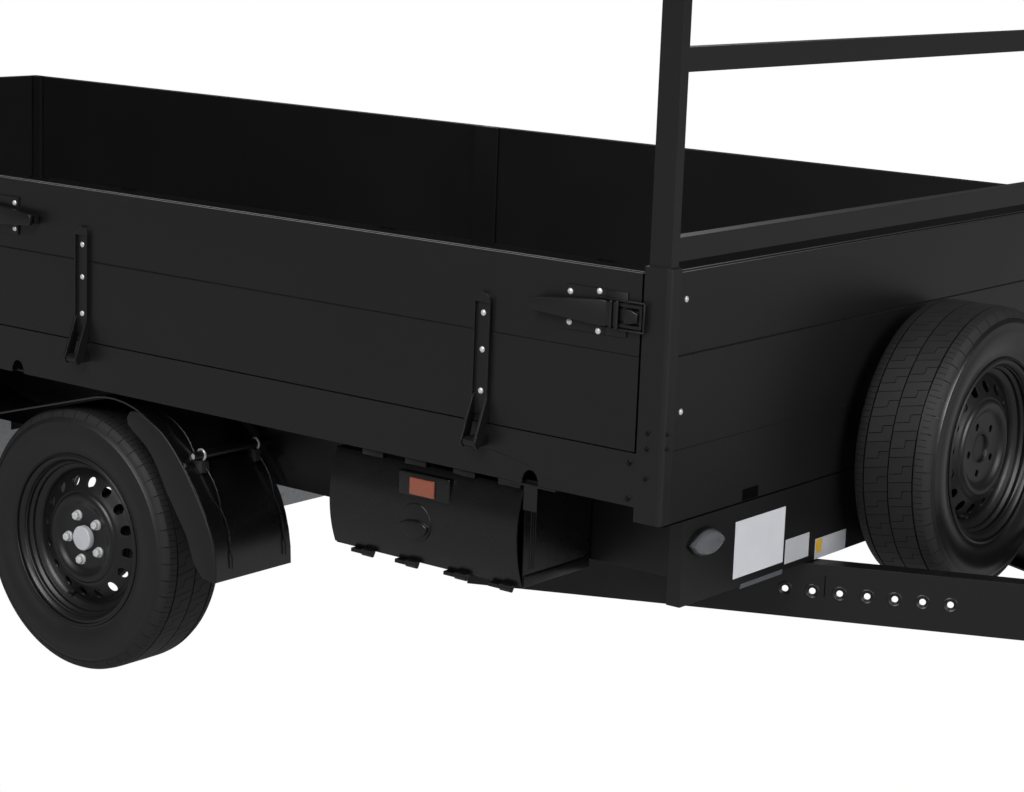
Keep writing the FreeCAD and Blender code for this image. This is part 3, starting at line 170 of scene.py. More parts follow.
def stove_enamelled_steel():
    """Black enamel on pressed wheels: glossier than the powder coat."""
    made, tree, place = start_material("stove_enamelled_steel")
    flow = noise(tree, place, 9)
    return finish_material(
        made, IOR=1.5, Base_Color=linear("#0E0E0F"),
        Roughness=spread(tree, flow, 0.34, 0.44), Normal=relief(tree, flow, 0.05, 0.5, 1.5),
    )


def tyre_rubber(name, low, high):
    """Carbon-black rubber: matt tread or satin sidewall, with a little bloom."""
    made, tree, place = start_material(name)
    bloom = noise(tree, place, 45, 5.0)
    grain = noise(tree, place, 1.6)
    return finish_material(
        made, IOR=1.5, Base_Color=blend(tree, bloom, "#0A0A0B", "#101011"),
        Roughness=spread(tree, bloom, low, high), Normal=relief(tree, grain, 0.12, 0.3),
    )


def moulded_polyethylene(name="moulded_polyethylene", low=0.22, high=0.34, ior=1.5):
    """Black moulded plastic: a leathery grain that catches soft highlights."""
    made, tree, place = start_material(name)
    # The mould's grain has cells near 1.5 mm; it is drawn at 2 mm.
    cells = add(tree, "ShaderNodeTexVoronoi", {
        "Vector": place, "Scale": per_mm(2.0),
    }, feature="SMOOTH_F1").outputs["Distance"]
    wave = noise(tree, place, 80, 3.0)
    return finish_material(
        made, IOR=ior, Base_Color=linear("#0A0A0B"),
        Roughness=spread(tree, wave, low, high), Normal=relief(tree, cells, 0.10, 0.25, 1.5),
    )


def film_faced_plywood():
    """Birch ply with a dark phenol film, pressed with a fine wire mesh."""
    made, tree, place = start_material("film_faced_plywood")
    # The mesh's wires are 3 mm apart; they are drawn at 6 mm so that they show.
    wires = add(tree, "ShaderNodeTexBrick", {
        "Vector": place, "Scale": per_mm(6), "Mortar Size": 0.10, "Mortar Smooth": 0.6,
        "Brick Width": 1.0, "Row Height": 1.0,
    }, offset=0.5).outputs["Fac"]
    film = noise(tree, place, 140, 6.0)
    return finish_material(
        made, IOR=1.5, Roughness=0.45, Base_Color=blend(tree, film, "#0A0808", "#0F0C0B"),
        Normal=relief(tree, wires, 0.25, 0.4),
    )


def small_part_finish(name, tone, rough, metal=0.0, ior=1.5):
    """Paint, plating, plain plastic or foam on a small piece, its gloss slightly uneven."""
    made, tree, place = start_material(name)
    flow = noise(tree, place, 7, 3.0)
    return finish_material(
        made, Metallic=metal, IOR=ior, Base_Color=linear(tone),
        Roughness=spread(tree, flow, rough - 0.06, rough + 0.08),
    )


def moulded_lens(name, tone, through):
    """Acrylic lamp lens with fine ribs inside, a little under 4 mm apart."""
    made, tree, place = start_material(name)
    ribs = add(tree, "ShaderNodeTexWave", {
        "Vector": place, "Scale": per_mm(12), "Distortion": 0.0,
    }, wave_type="BANDS", bands_direction="Y").outputs["Fac"]
    return finish_material(
        made, IOR=1.49, Roughness=0.12, Base_Color=linear(tone), Transmission_Weight=through,
        Normal=relief(tree, ribs, 0.35, 0.6),
    )


def printed_film(name, tone, deep):
    """Blank plastic film on an aluminium plate: satin, with a little soiling."""
    made, tree, place = start_material(name)
    soil = noise(tree, place, 60, 4.0)
    return finish_material(made, IOR=1.48, Roughness=0.35, Base_Color=blend(tree, soil, tone, deep))


POWDER = polyester_powder_coat()
PLANK = coated_aluminium_plank()
GALVANISED = hot_dip_galvanised_steel()
ENAMEL = stove_enamelled_steel()
RUBBER = tyre_rubber("tyre_rubber", 0.62, 0.76)
SIDEWALL = tyre_rubber("sidewall_rubber", 0.46, 0.56)
# The spare has never been on the road, so its sidewall is still glossy.
UNUSED_SIDEWALL = tyre_rubber("unused_sidewall_rubber", 0.27, 0.35)
PLASTIC = moulded_polyethylene()
GUARD_PLASTIC = moulded_polyethylene("polished_polyethylene", 0.22, 0.32, 1.7)
LIP_PLASTIC = moulded_polyethylene("matt_polyethylene", 0.42, 0.52)
PLYWOOD = film_faced_plywood()
CASTING = small_part_finish("cast_iron_paint", "#2A2B2C", 0.5, 0.4)
CAP_PAINT = small_part_finish("grey_enamel_cap", "#A9AAAE", 0.4)
BOLT_PLATE = small_part_finish("zinc_flake_coat", "#B9BABC", 0.42, 0.2)
RIVET = small_part_finish("aluminium_rivet", "#C6C8CA", 0.35, 0.4)
DARK_BOLT = small_part_finish("black_oxide_steel", "#1B1B1C", 0.35, 0.7)
CLEAR_LENS = moulded_lens("clear_acrylic", "#55575A", 0.15)
RED_LENS = moulded_lens("red_acrylic", "#8E1410", 0.25)
AMBER_LENS = moulded_lens("amber_acrylic", "#7E4636", 0.10)
LABEL = printed_film("blank_label_film", "#BFC0C4", "#B3B4B9")
GREY_LABEL = printed_film("grey_label_film", "#A2A3A7", "#97989C")
GREY_RUBBER = small_part_finish("grey_rubber", "#1E1E20", 0.5)
YELLOW = printed_film("yellow_label_film", "#B8932A", "#A98524")
# A light grey that paints a highlight on the end plate's lower lip.
LIP_HIGHLIGHT = small_part_finish("painted_lip_highlight", "#45464A", 0.5)
# Painted shade: a matt black whose index is close to air's, so it shows no reflection; it stands
# where slots, gaps and grooves are dark.
SHADE_BLACK = small_part_finish("painted_shade_black", "#050505", 0.9, 0.0, 1.1)
GREY_PLASTIC = small_part_finish("grey_nylon", "#8C8F92", 0.45)
BRIGHT_RING = small_part_finish("stainless_wire", "#B4B6B8", 0.3, 0.5)

FINISHES = {
    PLANK: ["front_panel", "tailboard", "side_panel"],
    GALVANISED: ["axle_tubes", "trailing_arms", "mudguard_stays", "jockey_tube",
                 "jockey_slider", "jockey_fork"],
    ENAMEL: ["wheel_", "spare_wheel"],
    RUBBER: ["tyre_", "spare_tyre", "overrun_gaiter", "jockey_wheel"],
    PLASTIC: ["mudguard_right", "mudguard_left", "toolbox", "handbrake_lever"],
    PLYWOOD: ["floor_board"],
}


def finish_of(name):
    for finish, starts in FINISHES.items():
        if any(name.startswith(start) for start in starts):
            return finish
    return POWDER


for name, node in nodes.items():
    node.data.materials.clear()
    node.data.materials.append(finish_of(name))


# Modelling, in millimetres

ROOT = "root"


def bed(x, y, z):
    """A place in bed millimetres: x from the front panel's face, y from the centre line."""
    return Vector((FRONT_FACE + x * MM, y * MM, z * MM))


def into_edit(piece):
    bpy.ops.object.select_all(action="DESELECT")
    piece.select_set(True)
    bpy.context.view_layer.objects.active = piece
    bpy.ops.object.mode_set(mode="EDIT")
    bpy.ops.mesh.select_all(action="SELECT")


def out_of_edit():
    bpy.ops.mesh.select_all(action="SELECT")
    bpy.ops.mesh.normals_make_consistent(inside=False)
    bpy.ops.object.mode_set(mode="OBJECT")


def choose_faces(piece, wanted):
    """Go into edit mode with just the faces selected whose middle is wanted."""
    into_edit(piece)
    bpy.ops.mesh.select_mode(type="FACE")
    bpy.ops.mesh.select_all(action="DESELECT")
    bpy.ops.object.mode_set(mode="OBJECT")
    for polygon in piece.data.polygons:
        polygon.select = wanted(polygon.center)
    bpy.ops.object.mode_set(mode="EDIT")


def draw(name, points):
    """A chain of edges extruded from point to point, left open in edit mode."""
    bpy.ops.object.select_all(action="DESELECT")
    bpy.ops.mesh.primitive_plane_add(size=1)
    piece = bpy.context.object
    piece.name = piece.data.name = name
    bpy.ops.object.mode_set(mode="EDIT")
    bpy.ops.mesh.select_all(action="SELECT")
    bpy.ops.mesh.merge(type="CENTER")
    bpy.ops.transform.translate(value=points[0])
    for start, end in zip(points, points[1:]):
        bpy.ops.mesh.extrude_region_move(TRANSFORM_OT_translate={"value": end - start})
    bpy.ops.mesh.select_all(action="SELECT")
    return piece


def modify(piece, kind, **settings):
    """Add a modifier and apply it at once."""
    bpy.ops.object.select_all(action="DESELECT")
    piece.select_set(True)
    bpy.context.view_layer.objects.active = piece
    bpy.ops.object.modifier_add(type=kind)
    modifier = piece.modifiers[-1]
    for name, value in settings.items():
        setattr(modifier, name, value)
    bpy.ops.object.modifier_apply(modifier=modifier.name)
    return piece


def press(name, points, depth, edge=0.0, segments=2):
    """A face filled in an outline and extruded along depth, its edges rounded in mm."""
    piece = draw(name, points)
    bpy.ops.mesh.edge_face_add()
    bpy.ops.mesh.extrude_region_move(TRANSFORM_OT_translate={"value": Vector(depth) * MM})
    out_of_edit()
    if edge:
        modify(piece, "BEVEL", width=edge * MM, segments=segments, limit_method="ANGLE")
    return piece


def slab(name, low, high, edge=0.0, segments=2):
    """A block from its lower corner to its upper one, in bed millimetres."""
    (x0, y0, z0), (x1, y1, z1) = low, high
    foot = [bed(x0, y0, z0), bed(x1, y0, z0), bed(x1, y1, z0), bed(x0, y1, z0)]
    return press(name, foot, (0, 0, z1 - z0), edge, segments)


def turn(name, profile, centre, axis, steps=32):
    """A profile of radius and height in mm spun round an axis through centre."""
    axis = Vector(axis)
    out = axis.orthogonal().normalized()
    points = [centre + (out * radius + axis * height) * MM for radius, height in profile]
    piece = draw(name, points)
    bpy.ops.mesh.spin(steps=steps, angle=2 * math.pi, center=centre, axis=axis)
    bpy.ops.mesh.select_all(action="SELECT")
    bpy.ops.mesh.remove_doubles(threshold=MERGE)
    out_of_edit()
    return piece


def copy_to(piece, place):
    """A copy with its own mesh, carried by a matrix; a mirrored one is turned right side out."""
    twin = piece.copy()
    twin.data = piece.data.copy()
    bpy.context.scene.collection.objects.link(twin)
    twin.data.transform(place)
    if place.determinant() < 0:
        twin.data.flip_normals()
    return twin


def join(name, pieces):
    bpy.ops.object.select_all(action="DESELECT")
    for piece in pieces:
        piece.select_set(True)
    bpy.context.view_layer.objects.active = pieces[0]
    if len(pieces) > 1:
        bpy.ops.object.join()
    joined = bpy.context.object
    joined.name = joined.data.name = name
    return joined


def remove(*pieces):
    for piece in pieces:
        bpy.data.objects.remove(piece)


def dress(piece, finish, body, sharp=35):
    """Smooth a finished piece, give it its material and let it ride on its body."""
    bpy.ops.object.select_all(action="DESELECT")
    piece.select_set(True)
    bpy.context.view_layer.objects.active = piece
    bpy.ops.object.shade_smooth_by_angle(angle=math.radians(sharp))
    if finish:
        piece.data.materials.clear()
        piece.data.materials.append(finish)
    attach(piece, body)
    return piece


MIRROR_Y = Matrix.Scale(-1, 4, (0, 1, 0))


def on_both_sides(near, title, finish):
    """A piece of the right side, and its mirrored copy on the left."""
    dress(copy_to(near, MIRROR_Y), finish, ROOT).name = f"{title}_left"
    dress(near, finish, ROOT).name = f"{title}_right"


def mirror_x(at):
    """A mirror across the plane x = at, in bed millimetres."""
    middle = FRONT_FACE + at * MM
    return Matrix.Translation((2 * middle, 0, 0)) @ Matrix.Scale(-1, 4, (1, 0, 0))


# Sizes shared with the part, in bed millimetres
HALF = HALF_WIDTH / MM
FACE = -HALF
# How far a corner post reaches ahead of and behind a panel's face, and inwards.
POST_FRONT, POST_BACK, POST_DEPTH = 22, 39, 37
MIDDLE_POST_X = -2020
MIDDLE_POST_HALF = 23
TAIL_X = -4062
REAR_POST_X = TAIL_X + POST_FRONT + POST_BACK
HUBS = {"front": -1666.6, "rear": -2466.6}
HUB_Z = 317.5
WHEEL_Y = HALF - 127.5
TYRE_RADIUS = 317.5
TYRE_HALF = 97.5
SPARE_GAP, SPARE_Z = 28, 700


# Tyres and wheels, modelled round Y at the front right wheel's place

WHEEL_CENTRE = bed(HUBS["front"], -WHEEL_Y, HUB_Z)
GROOVE_DEPTH = 5
TREAD_FLOOR = TYRE_RADIUS - GROOVE_DEPTH
RIB_PITCHES = 36
SHOULDER_PITCHES = 48
# A fine cut's width, and how far it runs round the tyre for each millimetre across.
CUT = 1.3
SLANT = -0.2
# The middle ribs end at the main grooves, and part at the centre line.
RIB_EDGE, RIB_MIDDLE = 57, 1.6
# How far a shoulder block stands back from its pitch's ends.
SHORT_CUT_HALF, SHOULDER_CUT_HALF = 0.5, 0.9


def both(half):
    """A profile from the half at positive heights, the other half mirrored."""
    return half + [(radius, -height) for radius, height in reversed(half)]


def tyre_carcass():
    """Smooth sidewalls with a rim rib and a scuff rib, and the floor of the grooves."""
    side = [
        (186, 72), (190, 77), (199, 81), (204, 82.5), (207, 84.6), (211, 86.2), (213, 86.2),
        (216, 86.4), (224, 89.8), (236, 94), (248, 96.6), (258, 97.5), (268, 97.1), (280, 95),
        (283, 95.2), (286, 94.6), (288, 92.8), (296, 89.8), (303, 86), (308, 78), (311.5, 66),
        (312.5, 30),
    ]
    closed = both(side)
    return turn("tyre_carcass", closed + closed[:1], WHEEL_CENTRE, (0, 1, 0), 96)


def on_tread(around, across, radius=TREAD_FLOOR):
    """A place on the tyre in mm: around its tread from the top, and across it."""
    return round_the_hub(around / TYRE_RADIUS, radius, across)


def tread_cut(level, ends, side, step=None, drop=0):
    """Corners of one side of a fine cut across a rib, which slants and may drop at a step."""
    start, end = ends
    shift = side * CUT / 2
    corners = [(level + SLANT * start + shift, start)]
    if step is not None:
        at, high = step + shift, level + SLANT * step + shift
        corners += [(high, at), (high - drop, at)]
    return corners + [(level + SLANT * end - drop + shift, end)]


def tread_block(lower, upper):
    """A block between two cuts, raised square to the tyre from the grooves' floor."""
    block = draw("tread_block", [on_tread(*corner) for corner in lower + upper[::-1]])
    bpy.ops.mesh.edge_face_add()
    bpy.ops.mesh.extrude_region_move()
    grow = TYRE_RADIUS / TREAD_FLOOR
    bpy.ops.transform.resize(value=(grow, 1, grow), center_override=WHEEL_CENTRE)
    out_of_edit()
    return block


def rib_pitch():
    """The four blocks of one pitch of the two middle ribs, with a stepped cut in each rib."""
    pitch = 2 * math.pi * TYRE_RADIUS / RIB_PITCHES
    left, right = (-RIB_EDGE, -RIB_MIDDLE), (RIB_MIDDLE, RIB_EDGE)
    left_split, right_split = 20, 34
    left_step = {"step": -34, "drop": 16}
    right_step = {"step": 25, "drop": 14}
    blocks = [
        tread_block(tread_cut(0, left, 1, **left_step), tread_cut(left_split, left, -1)),
        tread_block(tread_cut(left_split, left, 1), tread_cut(pitch, left, -1, **left_step)),
        tread_block(tread_cut(0, right, 1), tread_cut(right_split, right, -1, **right_step)),
        tread_block(tread_cut(right_split, right, 1, **right_step), tread_cut(pitch, right, -1)),
    ]
    return join("rib_pitch", blocks)


def shoulder_block(section, start, end, steps):
    """A shoulder block: its section spun round the tyre from one cut to the next."""
    corners = [on_tread(start, across, radius) for across, radius in section]
    block = draw("shoulder_block", corners)
    bpy.ops.mesh.edge_face_add()
    bpy.ops.mesh.spin(
        steps=steps, angle=(start - end) / TYRE_RADIUS, center=WHEEL_CENTRE, axis=(0, 1, 0)
    )
    out_of_edit()
    return block


def shoulder_pitch():
    """One pitch of both shoulders: a cut down to the sidewall and two short ones."""
    pitch = 2 * math.pi * TYRE_RADIUS / SHOULDER_PITCHES
    crown = [(61, 311), (61, 317.2), (72, 316), (80, 312.6), (80, 306)]
    edge = [(80, 305), (80, 312.6), (85, 308.4), (88.6, 303), (91.4, 295), (88, 294)]
    blocks = []
    for way in (-1, 1):
        near = [(way * across, radius) for across, radius in crown]
        far = [(way * across, radius) for across, radius in edge]
        third = pitch / 3
        for k in range(3):
            start, end = k * third + SHORT_CUT_HALF, (k + 1) * third - SHORT_CUT_HALF
            blocks.append(shoulder_block(near, start, end, 1))
        blocks.append(shoulder_block(far, SHOULDER_CUT_HALF, pitch - SHOULDER_CUT_HALF, 3))
    return join("shoulder_pitch", blocks)


def round_the_tyre(master, pitches):
    """Repeat one pitch of the tread all round the tyre."""
    into_edit(master)
    bpy.ops.mesh.spin(
        steps=pitches, angle=2 * math.pi, dupli=True, center=WHEEL_CENTRE, axis=(0, 1, 0)
    )
    bpy.ops.mesh.select_all(action="SELECT")
    bpy.ops.mesh.remove_doubles(threshold=MERGE)
    out_of_edit()
    return master


def tyre():
    ribs = round_the_tyre(rib_pitch(), RIB_PITCHES)
    shoulders = round_the_tyre(shoulder_pitch(), SHOULDER_PITCHES)
    carcass = tyre_carcass()
    for piece, rubber in ((carcass, SIDEWALL), (ribs, RUBBER), (shoulders, RUBBER)):
        piece.data.materials.append(rubber)
    return join("tyre", [carcass, ribs, shoulders])


VENT_COLUMNS = 32
VENT_DEPTH = 47
DISC_SHEET, RIM_SHEET = 4, 3
BOLTS = 5
BOLT_CIRCLE_RADIUS = 56
# The first bolt's turn from the top, in radians.
FIRST_BOLT = -0.4406


def wheel_disc(holes):
    """The pressed disc: a spun sheet whose vents are deleted faces, then given its thickness."""
    face = [
        (29, -48), (31, -54), (34, -55.5), (37, -53.5), (52, -53.5), (66, -53.5), (76, -54),
        (83, -57.5), (89, -62.5), (96, -65.5), (104, -65), (108.5, -62.5), (110.5, -59.5),
        (113, -59.5), (118, -58), (124, -54), (152, -40.5), (157, -36.8), (161, -36), (163.5, -33),
    ]
    disc = turn("wheel_disc", face, WHEEL_CENTRE, (0, 1, 0), VENT_COLUMNS)

    def in_a_vent(middle):
        spoke = middle - WHEEL_CENTRE
        column = round(math.degrees(math.atan2(spoke.x, spoke.z)) * VENT_COLUMNS / 360 - 0.5)
        return abs(spoke.y + VENT_DEPTH * MM) < 2 * MM and column % 2 == 0

    choose_faces(disc, in_a_vent)
    bpy.ops.mesh.delete(type="FACE")
    bpy.ops.mesh.select_mode(type="VERT")
    out_of_edit()
    modify(disc, "SUBSURF", levels=2)
    modify(disc, "SOLIDIFY", thickness=DISC_SHEET * MM, offset=-1)
    if holes:
        cutter = join("bolt_holes", [bolt_hole(k) for k in range(BOLTS)])
        modify(disc, "BOOLEAN", operation="DIFFERENCE", object=cutter, solver="EXACT")
        remove(cutter)
    return disc


def round_the_hub(angle, radius, across=0):
    """A place on the front right wheel, at an angle from the top and a radius in mm."""
    way = Vector((radius * math.sin(angle), across, radius * math.cos(angle)))
    return WHEEL_CENTRE + way * MM


def bolt_spot(k):
    return round_the_hub(FIRST_BOLT + k * math.radians(360 / BOLTS), BOLT_CIRCLE_RADIUS)


def bolt_hole(k):
    profile = [(0, -80), (8, -80), (8, -30), (0, -30)]
    return turn("bolt_hole", profile, bolt_spot(k), (0, 1, 0), 16)


def rim_barrel():
    """The rim's bed: curled flanges, bead seats, steps and the well."""
    bed_line = [
        (203, -89), (207, -87), (207.5, -83.5), (204, -82.5), (200, -84), (196, -83.5),
        (191, -79), (189, -74), (188.5, -64), (184, -60.5), (181, -58), (180, -51),
        (176, -48.5), (170, -46), (167, -43), (163.5, -38), (162, -30), (162, 22), (168, 34),
        (186, 50), (188.5, 70), (196, 83), (203, 87),
    ]
    barrel = turn("rim_barrel", bed_line, WHEEL_CENTRE, (0, 1, 0), 96)
    return modify(barrel, "SOLIDIFY", thickness=RIM_SHEET * MM, offset=0)


def valve_stem():
    profile = [(0, -12), (3.6, -12), (3.6, 4), (5, 5), (5, 14), (3.8, 16), (3.8, 26), (0, 26.5)]
    base = round_the_hub(math.radians(200), 157, -34)
    return turn("valve_stem", profile, base, (0, -1, 0), 12)


def brake_drum():
    """The hub and brake drum behind the disc, with cooling ribs round the drum."""
    profile = [
        (20.2, 2), (20.2, -42), (27, -42), (27, -50), (58, -46.5), (88, -45), (111, -42),
        (115, -39), (115, -34), (112, -33), (112, -29), (115, -28), (115, -23), (112, -22),
        (112, -18), (115, -17), (115, 3), (108, 4), (108, -4), (24, -4), (24, 2),
    ]
    return turn("brake_drum", profile + profile[:1], WHEEL_CENTRE, (0, 1, 0), 64)


def wheel_bolt(k):
    """A closed hexagon bolt head on its round collar."""
    spot = bolt_spot(k)
    head_line = [(0, -68), (8.6, -68), (10.6, -66), (10.8, -56), (0, -56)]
    head = turn("bolt_head", head_line, spot, (0, 1, 0), 6)
    collar_line = [(0, -58.5), (11.4, -58.5), (12.6, -57), (13, -53), (0, -53)]
    collar = turn("bolt_collar", collar_line, spot, (0, 1, 0), 24)
    modify(head, "BEVEL", width=0.9 * MM, segments=2, limit_method="ANGLE")
    return join("wheel_bolt", [head, collar])


def hub_cap():
    """The flat pressed cap in the middle of the wheel."""
    profile = [
        (0, -68), (24, -68), (27.6, -67.4), (29.3, -65.6), (29.8, -63), (29.8, -54), (0, -54),
    ]
    return turn("hub_cap", profile, WHEEL_CENTRE, (0, 1, 0), 48)


def quarter_turn_to_spare():
    """From the front right wheel's place to the spare's, its outer face forward."""
    spare = bed(SPARE_GAP + TYRE_HALF, 0, SPARE_Z)
    return (
        Matrix.Translation(spare) @ Matrix.Rotation(math.radians(90), 4, "Z")
        @ Matrix.Translation(-WHEEL_CENTRE)
    )


def wheel_places():
    """Each road wheel's name, body and the way there from the front right wheel."""
    for row, x in HUBS.items():
        for where, side in SIDES.items():
            carried = Matrix.Translation(Vector((x - HUBS["front"], 0, 0)) * MM)
            if side > 0:
                carried = carried @ MIRROR_Y
            yield f"{row}_{where}", f"wheel_set_{row}_{where}", carried


def wheel_piece(master, carried, finish, name, body=ROOT):
    """A copy of a wheel's piece, carried to its place under its name."""
    piece = dress(copy_to(master, carried), finish, body, 30)
    piece.name = name
    return piece


def make_wheels():
    rubber, drum = tyre(), brake_drum()
    rim = join("rim", [rim_barrel(), wheel_disc(False)])
    spare_rim = join("spare_rim", [rim_barrel(), wheel_disc(True)])
    bolts = join("wheel_bolts", [wheel_bolt(k) for k in range(BOLTS)])
    cap, valve = hub_cap(), valve_stem()
    fittings = (
        (bolts, BOLT_PLATE, "wheel_bolts"), (cap, CAP_PAINT, "hub_cap"),
        (valve, RUBBER, "valve_stem"),
    )
    for name, body, carried in wheel_places():
        road_tyre = wheel_piece(rubber, carried, None, f"road_tyre_{name}", body)
        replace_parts(road_tyre, f"tyre_{name}")
        road_wheel = wheel_piece(rim, carried, ENAMEL, f"pressed_wheel_{name}", body)
        wheel_piece(drum, carried, CASTING, f"brake_drum_{name}", body)
        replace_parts(road_wheel, f"wheel_{name}")
        for master, finish, title in fittings:
            wheel_piece(master, carried, finish, f"{title}_{name}", body)
    carried = quarter_turn_to_spare()
    spare_tyre = wheel_piece(rubber, carried, None, "spare_road_tyre")
    spare_tyre.data.materials[0] = UNUSED_SIDEWALL
    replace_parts(spare_tyre, "spare_tyre")
    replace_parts(wheel_piece(spare_rim, carried, ENAMEL, "spare_pressed_wheel"), "spare_wheel")
    wheel_piece(valve, carried, RUBBER, "spare_valve_stem")
    remove(rubber, drum, rim, spare_rim, bolts, cap, valve)


make_wheels()


# Rivets and screws

OUT_RIGHT = Vector((0, -1, 0))
BACK = Vector((-1, 0, 0))
FORWARD = Vector((1, 0, 0))
RIVET_RADIUS, RIVET_RISE = 6.5, 3.2
STRAP_FACE, LATCH_FACE = 3, 4
STRAP_INSET = 424
# The tailboard's straps stand at this share of the half width.
TAIL_STRAP_SHARE = 0.55
STRAP_RIVETS = (1036.7, 961.9, 877.0)
LATCH_RIVETS = ((171, 30), (171, -30), (101, 39), (101, -39))
LATCH_Z = 1078
# The posts' edges beside a front panel's latches, and each latch's way from its post.
LATCH_POSTS = ((-POST_BACK, -1), (MIDDLE_POST_X + MIDDLE_POST_HALF, 1))
FRONT_RIVET_INSET, FRONT_RIVETS = 88.5, (1110, 887.7)
# The rear panels mirror the front ones across the middle of the bed between the posts.
TO_REAR_ROW = mirror_x((REAR_POST_X - POST_BACK) / 2)


def rivet(spot, axis):
    """A domed rivet head standing on a face, its axis out of the face."""
    radius, rise = RIVET_RADIUS, RIVET_RISE
    profile = [
        (0, rise), (radius * 0.42, rise * 0.9), (radius * 0.75, rise * 0.62),
        (radius * 0.95, rise * 0.25), (radius, 0), (radius, -0.6), (0, -0.6),
    ]
    return turn("rivet", profile, spot, axis, 20)


def flange_bolt(spot, axis, radius):
    """A flanged hexagon bolt head."""
    across, brim = radius * 0.86, radius * 1.2
    head_line = [(0, 6), (radius * 0.8, 6), (across, 5), (across, 1), (0, 1)]
    head = turn("bolt_head", head_line, spot, axis, 6)
    flange_line = [(0, 2), (radius, 1.6), (brim, 0.6), (brim, -0.5), (0, -0.5)]
    flange = turn("bolt_flange", flange_line, spot, axis, 20)
    return join("flange_bolt", [head, flange])


def on_each_dropside(master, title, finish):
    """Copies of the front right panel's piece on all four drop sides; the master goes."""
    for row, carried in (("front", Matrix()), ("rear", TO_REAR_ROW)):
        for where, side in SIDES.items():
            way = carried if side < 0 else MIRROR_Y @ carried
            twin = dress(copy_to(master, way), finish, f"dropside_{row}_{where}")
            twin.name = f"{title}_{row}_{where}"
    remove(master)


def side_rivets():
    """Rivet heads of the front right panel's straps and latches."""
    straps = (-STRAP_INSET, MIDDLE_POST_X + STRAP_INSET)
    heads = [
        rivet(bed(x, FACE - STRAP_FACE, z), OUT_RIGHT) for x in straps for z in STRAP_RIVETS
    ]
    for post, way in LATCH_POSTS:
        for near, rise in LATCH_RIVETS:
            spot = bed(post + way * near, FACE - LATCH_FACE, LATCH_Z + rise)
            heads.append(rivet(spot, OUT_RIGHT))
    return join("side_rivets", heads)


def make_rivets():
    on_each_dropside(side_rivets(), "rivets", RIVET)

    tail_heads = []
    for side in (-1, 1):
        for z in STRAP_RIVETS:
            spot = bed(TAIL_X - STRAP_FACE, side * HALF * TAIL_STRAP_SHARE, z)
            tail_heads.append(rivet(spot, BACK))
    for side in (-1, 1):
        for near, rise in LATCH_RIVETS:
            y = side * (HALF - POST_DEPTH - near)
            tail_heads.append(rivet(bed(TAIL_X - LATCH_FACE, y, LATCH_Z + rise), BACK))
    dress(join("rivets_tailboard", tail_heads), RIVET, "tailgate")

    front = []
    for side in (-1, 1):
        for z in FRONT_RIVETS:
            front.append(rivet(bed(0, side * (HALF - FRONT_RIVET_INSET), z), FORWARD))
    dress(join("rivets_front_panel", front), RIVET, ROOT)

    # Bolts through the edge rail beside each corner post, then those of the posts themselves.
    bolts = []
    for x in (-54, REAR_POST_X + 15):
        for z in (791, 720):
            bolts.append(flange_bolt(bed(x, FACE, z), OUT_RIGHT, 5))
    for x in (-15, TAIL_X + 37):
        for z in (856, 825, 766):
            bolts.append(flange_bolt(bed(x, FACE, z), OUT_RIGHT, 4))
    for z in (858, 829):
        bolts.append(flange_bolt(bed(POST_FRONT, -HALF + 12, z), FORWARD, 4))
    on_both_sides(join("post_bolts", bolts), "post_bolts", DARK_BOLT)


make_rivets()


# Latches: plates, bars, levers, wire loops and hooks

LEVER_HALF, LOOP_HALF = 26.5, 30.5
# The wire loop runs from the post's hook to the latch's bars; its wire is 4 mm thick.
LOOP_ENDS, LOOP_RISE, WIRE = (-11, 104), 7, 4


def latch_trim(at, out):
    """A latch's plate, bars, lever, wire loop and hook; at gives a place along it, out and up."""
    pieces = []

    def bar(ends, low, high, heights, edge):
        corners = [at(ends[0], low, heights[0]), at(ends[1], low, heights[0]),
                   at(ends[1], low, heights[1]), at(ends[0], low, heights[1])]
        pieces.append(press("latch_part", corners, out * (high - low), edge))

    bar((35, 92), 0, 3.5, (-44, 44), 1)
    for along in (52, 66):
        profile = [(0, -27), (3.4, -27), (4, -26.2), (4, 26.2), (3.4, 27), (0, 27)]
        pieces.append(turn("latch_bar", profile, at(along, 14, 0), (0, 0, 1), 12))
    lever = [
        (250, 20, -13), (252, 20, -9), (252, 20, 9), (250, 20, 13), (93, 8, 25.5), (76, 6.7, 25.5),
        (76, 6.7, -25.5), (93, 8, -25.5),
    ]
    corners = [at(along, rise, z) for along, rise, z in lever]
    pieces.append(press("lever_face", corners, out * 10, 2, 3))
    top = LOOP_RISE + WIRE
    for side in (-1, 1):
        heights = sorted((side * LEVER_HALF, side * LOOP_HALF))
        bar(LOOP_ENDS, LOOP_RISE, top, heights, 1.6)
    bar((LOOP_ENDS[0], LOOP_ENDS[0] + WIRE), LOOP_RISE, top, (-LOOP_HALF, LOOP_HALF), 1.6)
    hook = [(4, -9), (20, -14), (34, -14), (34, 14), (20, 14), (4, 9)]
    corners = [at(along, 6.5, z) for along, z in hook]
    pieces.append(press("latch_hook", corners, out * 9, 2, 3))
    return pieces


def make_latches():
    pieces = []
    for post, way in LATCH_POSTS:
        def beside(along, out, z, post=post, way=way):
            return bed(post + way * along, FACE - out, LATCH_Z + z)
        pieces += latch_trim(beside, OUT_RIGHT)
    on_each_dropside(join("latch_trim", pieces), "latches", POWDER)

    tail = []
    for side in (-1, 1):
        def behind(along, out, z, side=side):
            return bed(TAIL_X - out, side * (HALF - POST_DEPTH - along), LATCH_Z + z)
        tail += latch_trim(behind, BACK)
    dress(join("latches_tailboard", tail), POWDER, "tailgate")


make_latches()


# Lamps, reflectors and labels

LAMP_INSET, LAMP_Z = 194.5, 608.5
LAMP_BASE = 9
TAIL_LAMP_INSET, TAIL_CASE_HALF = 187, 100
TAIL_PLATE_X = TAIL_X + 52
